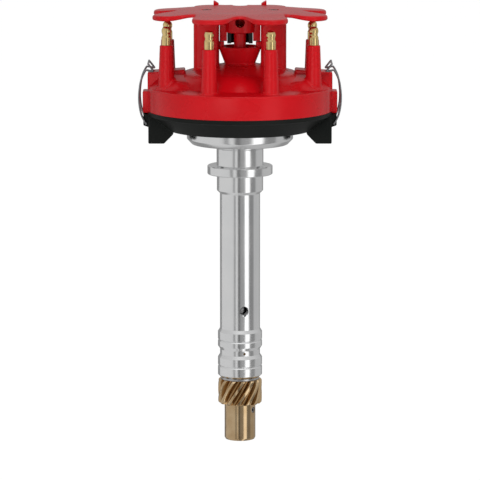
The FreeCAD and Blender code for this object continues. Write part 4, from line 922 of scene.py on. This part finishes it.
# %% Add the posts
POST_CENTRE = 24.2
POST_HALF_WIDTH = 9.2
POST_HALF_DEPTH = 8.0
POST_BOTTOM = 72.0
POST_TOP = 115.8
POST_FLARE = 1.2
POST_ROUND = 3.4
POST_SLICES = 24
FIRST_SLICE = 74.0
DOME_SLOPE = 0.204


def dome_height(x, y):
    """The level of the dome where the posts stand, in millimetres."""
    return CROWN - DOME_SLOPE * (math.hypot(x, y) - DOME_EDGE)


def make_post():
    """The post at the right side, with its fillet on the dome."""
    bm = make_box((POST_CENTRE - POST_HALF_WIDTH, POST_CENTRE + POST_HALF_WIDTH),
                  (-POST_HALF_DEPTH, POST_HALF_DEPTH), (POST_BOTTOM, POST_TOP))
    upright = [edge for edge in bm.edges if abs(edge.verts[0].co.z - edge.verts[1].co.z) > MM]
    bmesh.ops.bevel(bm, geom=upright, offset=POST_ROUND * MM, offset_type="OFFSET", affect="EDGES",
                    segments=8, profile=0.5, material=-1)
    for index in range(POST_SLICES):
        level = FIRST_SLICE + SLICE * index
        bmesh.ops.bisect_plane(bm, geom=bm.verts[:] + bm.edges[:] + bm.faces[:],
                               plane_co=(0, 0, level * MM), plane_no=Z_AXIS)
    core = (POST_HALF_WIDTH - POST_ROUND, POST_HALF_DEPTH - POST_ROUND)
    return flare_foot(bm, POST_FLARE, dome_height, (POST_CENTRE, 0), core)


cap_parts += both_sides(make_post)
print("level of the dome beside a post, in mm:", round(dome_height(POST_CENTRE, 0), 1))

# %% [markdown]
# In the middle a shallow cup with two small ears surrounds the column of the coil terminal. The cup
# widens upwards and leaves room around the terminal.

# %% Add the cup and the column
CUP_OUTLINE = [
    (0, 78.6), (12.4, 78.6), (12.0, CROWN), (11.2, CROWN + 0.5, 0.4), (15.8, 93.0, 0.7),
    (13.6, 93.0, 0.7), (8.6, 82.8, 1.5), (5.9, 82.8), (4.4, 84.3, 1.2), (4.4, 103.0, 0.5),
    (2.2, 103.0, 0.2), (2.2, 102.0), (0, 102.0),
]
EAR = (rectangle(11.4, 15.6, 90.8, 96.4), 3.0, 0.7)
cap_parts += [spin_outline(CUP_OUTLINE, steps=64), *both_plates(*EAR)]
add_piece("cap_moulding", joined(*cap_parts), "red_plastic", "housing", "cap_shell")

# %% [markdown]
# ## The terminals
#
# Each tower holds a turned brass terminal that a plug lead snaps onto: a collar, a neck and a rounded
# head. All eight share one outline. They stay separate pieces, since each is one on the real cap.

# %% Add the plug terminals and the coil terminal
SEAT = TOWER_TOP
PLUG_OUTLINE = [
    (0, 94.6), (3.0, 94.6), (3.0, SEAT), (3.5, SEAT + 0.02, 0.1), (3.5, SEAT + 5.7, 0.45),
    (2.9, SEAT + 7.0, 0.5), (2.9, SEAT + 8.0, 0.4), (3.4, SEAT + 9.4, 0.5), (3.4, SEAT + 10.9, 0.7),
    (2.8, SEAT + 12.5, 0.6), (1.7, SEAT + 13.3, 0.3), (0, SEAT + 13.3),
]
ELECTRODE_OUTLINE = [(0, 55.0), (3.0, 55.0, 0.4), (3.0, 61.0), (0, 61.0)]
COIL_OUTLINE = [
    (0, 102.4), (2.2, 102.4), (2.2, 103.0), (3.5, 103.02, 0.1), (3.5, 104.7, 0.4), (2.2, 105.5, 0.2),
    (2.9, 106.4, 0.4), (2.9, 107.5, 0.6), (1.5, 108.6, 0.4), (0, 108.6),
]
for index in range(TOWERS):
    terminal = joined(spin_outline(PLUG_OUTLINE, steps=SMALL_STEPS),
                      spin_outline(ELECTRODE_OUTLINE, steps=SMALL_STEPS))
    shifted(terminal, *tower_place(index))
    add_piece(f"plug_terminal_brass_{index + 1}", terminal, "brass", "housing",
              f"plug_terminal_{index + 1}")
add_piece("coil_terminal_brass", spin_outline(COIL_OUTLINE, steps=SMALL_STEPS), "brass", "housing",
          "coil_terminal")

# %% [markdown]
# ## The wire retainer
#
# The retainer is a disc with eight drooping lobes, like petals, that press the plug leads down. It
# starts as a plain spun disc with a well-rounded rim. Then each point moves inwards where the outline
# between two lobes is nearer, and downwards along a smooth S-curve, so disc and lobe have no crease.
# Between the lobes the underside rises a little, which leaves the rim thinner there.

# %% Shape the disc with its lobes
RETAINER_TOP = 119.2
RETAINER_BOTTOM = 115.8
RETAINER_REACH = 66.7
ROUND_ABOVE = 1.9
ROUND_BELOW = 1.4
DISC_RADIUS = 45.0
DISC_RINGS = [0, 16, *range(30, 64, 2)]
LOBE_RADIUS = 13.6
LOBE_BLEND = 3.6
LOBE_DROP = 1.8
LOBE_EXTRA = 0.4
DROOP = (36.0, 64.0)
VALLEY_LIFT = 1.1
VALLEY_DEPTH = (2.0, 18.0)
VALLEY_START = (36.0, 45.0)
PULL_START = 30.0
PULL_END = 60.0
NEAREST_RIM = DISC_RADIUS - 5
HALVINGS = 24


def outside_rim(reach, offset):
    """How far a point lies outside the round plate and its nearest lobe, blended into one."""
    along = min(reach * math.cos(offset), RETAINER_REACH - LOBE_RADIUS)
    beside_lobe = math.hypot(reach * math.cos(offset) - along, reach * math.sin(offset)) - LOBE_RADIUS
    nearness = math.exp(-beside_lobe / LOBE_BLEND) + math.exp((DISC_RADIUS - reach) / LOBE_BLEND)
    return -LOBE_BLEND * math.log(nearness)


def rim_reach(angle):
    """How far the retainer reaches in a direction, found by halving the range it lies in."""
    step = FULL_TURN / TOWERS
    offset = (angle - math.radians(tower_degrees(0)) + step / 2) % step - step / 2
    low, high = NEAREST_RIM, RETAINER_REACH
    for _ in range(HALVINGS):
        middle = (low + high) / 2
        if outside_rim(middle, offset) < 0:
            low = middle
        else:
            high = middle
    return low


def make_disc():
    """The spun disc, drawn in between its lobes and let down towards its rim."""
    outline = [
        *[(ring, RETAINER_BOTTOM) for ring in DISC_RINGS],
        (RETAINER_REACH, RETAINER_BOTTOM, ROUND_BELOW), (RETAINER_REACH, RETAINER_TOP, ROUND_ABOVE),
        *[(ring, RETAINER_TOP) for ring in reversed(DISC_RINGS)],
    ]
    bm = spin_outline(outline, steps=384)
    middle = (RETAINER_TOP + RETAINER_BOTTOM) / 2
    for vert in bm.verts:
        radius = vert.co.xy.length / MM
        if radius < PULL_START:
            continue
        pull = min(1.0, (radius - PULL_START) / (PULL_END - PULL_START))
        spare = RETAINER_REACH - rim_reach(math.atan2(vert.co.y, vert.co.x))
        reach = radius - pull * spare
        vert.co.x *= reach / radius
        vert.co.y *= reach / radius
        below = vert.co.z / MM < middle
        vert.co.z -= (LOBE_DROP + (LOBE_EXTRA if below else 0.0)) * smooth_step(*DROOP, reach) * MM
        if below:
            between = smooth_step(*VALLEY_DEPTH, spare) * smooth_step(*VALLEY_START, reach)
            vert.co.z += VALLEY_LIFT * between * MM
    return bm


disc = make_disc()
print("reach of a lobe and between two, in mm:",
      round(rim_reach(math.radians(tower_degrees(0))), 1), round(rim_reach(0), 1))

# %% [markdown]
# Under the disc hangs a round hub over the coil terminal, with a hole for its lead, and a web at each
# side braces it against the posts. Two small pointed fins stand at the back, beside a slot for the
# coil lead. The top stays bare. The holes for the two screws are counterbored.

# %% Add the hub, webs and fins, and cut the openings
HUB_OUTLINE = [(7.9, 103.0, 0.4), (10.9, 103.0, 0.5), (10.9, 116.5), (7.9, 116.5)]
WEB = (rectangle(9.4, 14.7, 96.7, 116.2), 2.5, 0.4)
FIN_OUTLINE = [(15.6, 118.6), (19.4, 118.6), (19.4, 122.0), (18.0, 121.4), (15.6, 119.9)]
FIN_Y = (41.3, 48.2)
FIN_ROUNDING = 0.5
LEAD_EXIT = ((3.5, 3.5), (4.0, 24.0), 110.6)
FRONT = -90
THROUGH_PLATE = (100, 130)
SLOT_HALF_WIDTH = 5.5
SLOT_START = 38.0
SLOT_END = 80.0
SCREW_RADIUS = 2.0
HEAD_RADIUS = 3.9
HEAD_SEAT = 116.8


def make_fin():
    """The fin at the right of the slot."""
    bm = thick_plate(FIN_OUTLINE, (FIN_Y[1] - FIN_Y[0]) / 2, FIN_ROUNDING)
    return shifted(bm, y=sum(FIN_Y) / 2)


openings = [
    make_box((-SLOT_HALF_WIDTH, SLOT_HALF_WIDTH), (SLOT_START, SLOT_END), THROUGH_PLATE),
    rod(SLOT_HALF_WIDTH, *THROUGH_PLATE, y=SLOT_START),
]
openings += [rod(HEAD_RADIUS, HEAD_SEAT, THROUGH_PLATE[1], x=x) for x in (POST_CENTRE, -POST_CENTRE)]
openings += [rod(SCREW_RADIUS, *THROUGH_PLATE, x=x) for x in (POST_CENTRE, -POST_CENTRE)]
plate = cut_away(disc, *openings)
hub = cut_away(spin_outline(HUB_OUTLINE, closed=True, steps=64), drill(*LEAD_EXIT, FRONT))
retainer_parts = [plate, hub, *both_plates(*WEB), *both_sides(make_fin)]
add_piece("lead_retainer", joined(*retainer_parts), "red_plastic", "housing", "wire_retainer")

# %% [markdown]
# ## The bails
#
# A bail is one length of spring wire, bent so that its two ends hook into the base ring and its top
# snaps over the cap's boss. Wire is best made as a curve with a round section: the points give the
# bends, and the spline rounds them.

# %% Bend the bails
WIRE_RADIUS = 0.72
BAIL_HALF_WIDTH = 12.9
BAIL_PIN = 5.0
PIN_BEND = 0.7
TAB_BEND = 0.8
BAIL_LEG = [
    (67.6, 37.5), (67.75, 38.2), (69.4, 41.0), (71.0, 44.3), (72.3, 50.0), (72.8, 57.0),
    (72.3, 63.4), (71.34, 69.2), (69.8, 73.2), (67.9, 76.6), (67.2, 77.0), (62.6, 75.9),
    (62.0, 76.0), (62.5, 76.7), (66.0, 81.2),
]


def bend_bail(body, sign):
    """One bail, which rides on its own body; the sign says on which side of the cap it sits."""
    leg = [(x * sign, z) for x, z in BAIL_LEG]
    pivot_x, pivot_z = leg[0]
    tab_x, tab_z = leg[-1]
    near = [
        (pivot_x, BAIL_PIN - BAIL_HALF_WIDTH, pivot_z), (pivot_x, PIN_BEND - BAIL_HALF_WIDTH, pivot_z),
        *[(x, -BAIL_HALF_WIDTH, z) for x, z in leg[1:]], (tab_x, TAB_BEND - BAIL_HALF_WIDTH, tab_z),
    ]
    far = [(x, -y, z) for x, y, z in reversed(near)]
    name = f"{body}_wire"
    curve = bpy.data.curves.new(name, "CURVE")
    curve.dimensions = "3D"
    curve.bevel_depth = WIRE_RADIUS * MM
    curve.bevel_resolution = 4
    curve.use_fill_caps = True
    spline = curve.splines.new("NURBS")
    spline.points.add(len(near + far) - 1)
    for point, place in zip(spline.points, near + far):
        point.co = (*[value * MM for value in place], 1)
    spline.order_u = 3
    spline.use_endpoint_u = True
    spline.resolution_u = 4
    curve.materials.append(FINISHES["bail_wire"])
    bail = new_object(name, curve)
    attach(bail, body)
    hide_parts(body)
    print(name, "- points of the curve:", len(spline.points))


bend_bail("bail_right", 1)
bend_bail("bail_left", -1)

# %% [markdown]
# ## The gear
#
# The gear has thirteen helical teeth. A ring of points is set to the outline of the teeth, extruded
# upwards in short lifts and turned a little at each, which gives the helix. The ends of the teeth are
# chamfered, and the plain hub below is spun. The bore and the pin's hole are cut last.

# %% Cut the gear
TEETH = 13
GEAR_LENGTH = 18.1
GEAR_TOP = -151.0
GEAR_BOTTOM = GEAR_TOP - GEAR_LENGTH
HUB_BOTTOM = GEAR_BOTTOM - 26.8
TIP = 16.0
ROOT = 12.4
FLANK = (0.16, 0.80)
LAND = 1.04
GEAR_LIFTS = 18
POINTS_PER_TOOTH = 16
HELIX = math.radians(32)
GEAR_TWIST = GEAR_LENGTH * math.tan(HELIX) / ((TIP + ROOT) / 2)
END_CHAMFER = 1.1
GEAR_HUB_OUTLINE = [
    (0, HUB_BOTTOM), (10.6, HUB_BOTTOM, 0.3), (11.3, HUB_BOTTOM + 1.4, 0.4), (11.3, GEAR_BOTTOM + 1),
    (0, GEAR_BOTTOM + 1),
]
BORE_RADIUS = 6.24
PIN_HOLE = ((2.35, 2.35), (-13.0, 13.0), GEAR_BOTTOM - 4.6)
PIN_DEGREES = -30


def tooth_radius(share):
    """The radius at a share of one pitch, from valley to valley."""
    across = abs(share - 0.5) * 2
    return ROOT + (TIP - ROOT) * min(1.0, smooth_step(*FLANK, 1 - across) * LAND)


def make_teeth():
    """The toothed part of the gear, without its bore."""
    bm = bmesh.new()
    bmesh.ops.create_circle(bm, cap_ends=False, segments=TEETH * POINTS_PER_TOOTH, radius=MM)
    for vert in bm.verts:
        angle = math.atan2(vert.co.y, vert.co.x) % FULL_TURN
        radius = tooth_radius(angle / FULL_TURN * TEETH % 1.0)
        vert.co = (radius * math.cos(angle) * MM, radius * math.sin(angle) * MM, GEAR_BOTTOM * MM)
    edges = list(bm.edges)
    turn = Matrix.Rotation(GEAR_TWIST / GEAR_LIFTS, 3, "Z")
    for _ in range(GEAR_LIFTS):
        grown = bmesh.ops.extrude_edge_only(bm, edges=edges)["geom"]
        rim = verts_in(grown)
        edges = [item for item in grown if isinstance(item, bmesh.types.BMEdge)
                 and item.verts[0] in rim and item.verts[1] in rim]
        bmesh.ops.translate(bm, vec=(0, 0, GEAR_LENGTH / GEAR_LIFTS * MM), verts=rim)
        bmesh.ops.rotate(bm, cent=(0, 0, 0), matrix=turn, verts=rim)
    for vert in bm.verts:
        level = vert.co.z / MM
        inside = min(level - GEAR_BOTTOM, GEAR_TOP - level)
        limit = TIP - END_CHAMFER * max(0.0, 1 - inside / END_CHAMFER)
        radius = vert.co.xy.length / MM
        if radius > limit:
            vert.co.x *= limit / radius
            vert.co.y *= limit / radius
    bmesh.ops.holes_fill(bm, edges=[edge for edge in bm.edges if edge.is_boundary])
    bmesh.ops.recalc_face_normals(bm, faces=bm.faces)
    return bm


def make_bore():
    """The cutter for the bore, a little longer than the gear."""
    return rod(BORE_RADIUS, HUB_BOTTOM - 1, GEAR_TOP + 1)


teeth = cut_away(make_teeth(), make_bore())
gear_hub = cut_away(spin_outline(GEAR_HUB_OUTLINE), make_bore(), drill(*PIN_HOLE, PIN_DEGREES))
add_piece("bronze_gear", joined(teeth, gear_hub), "bronze", "shaft", "drive_gear")
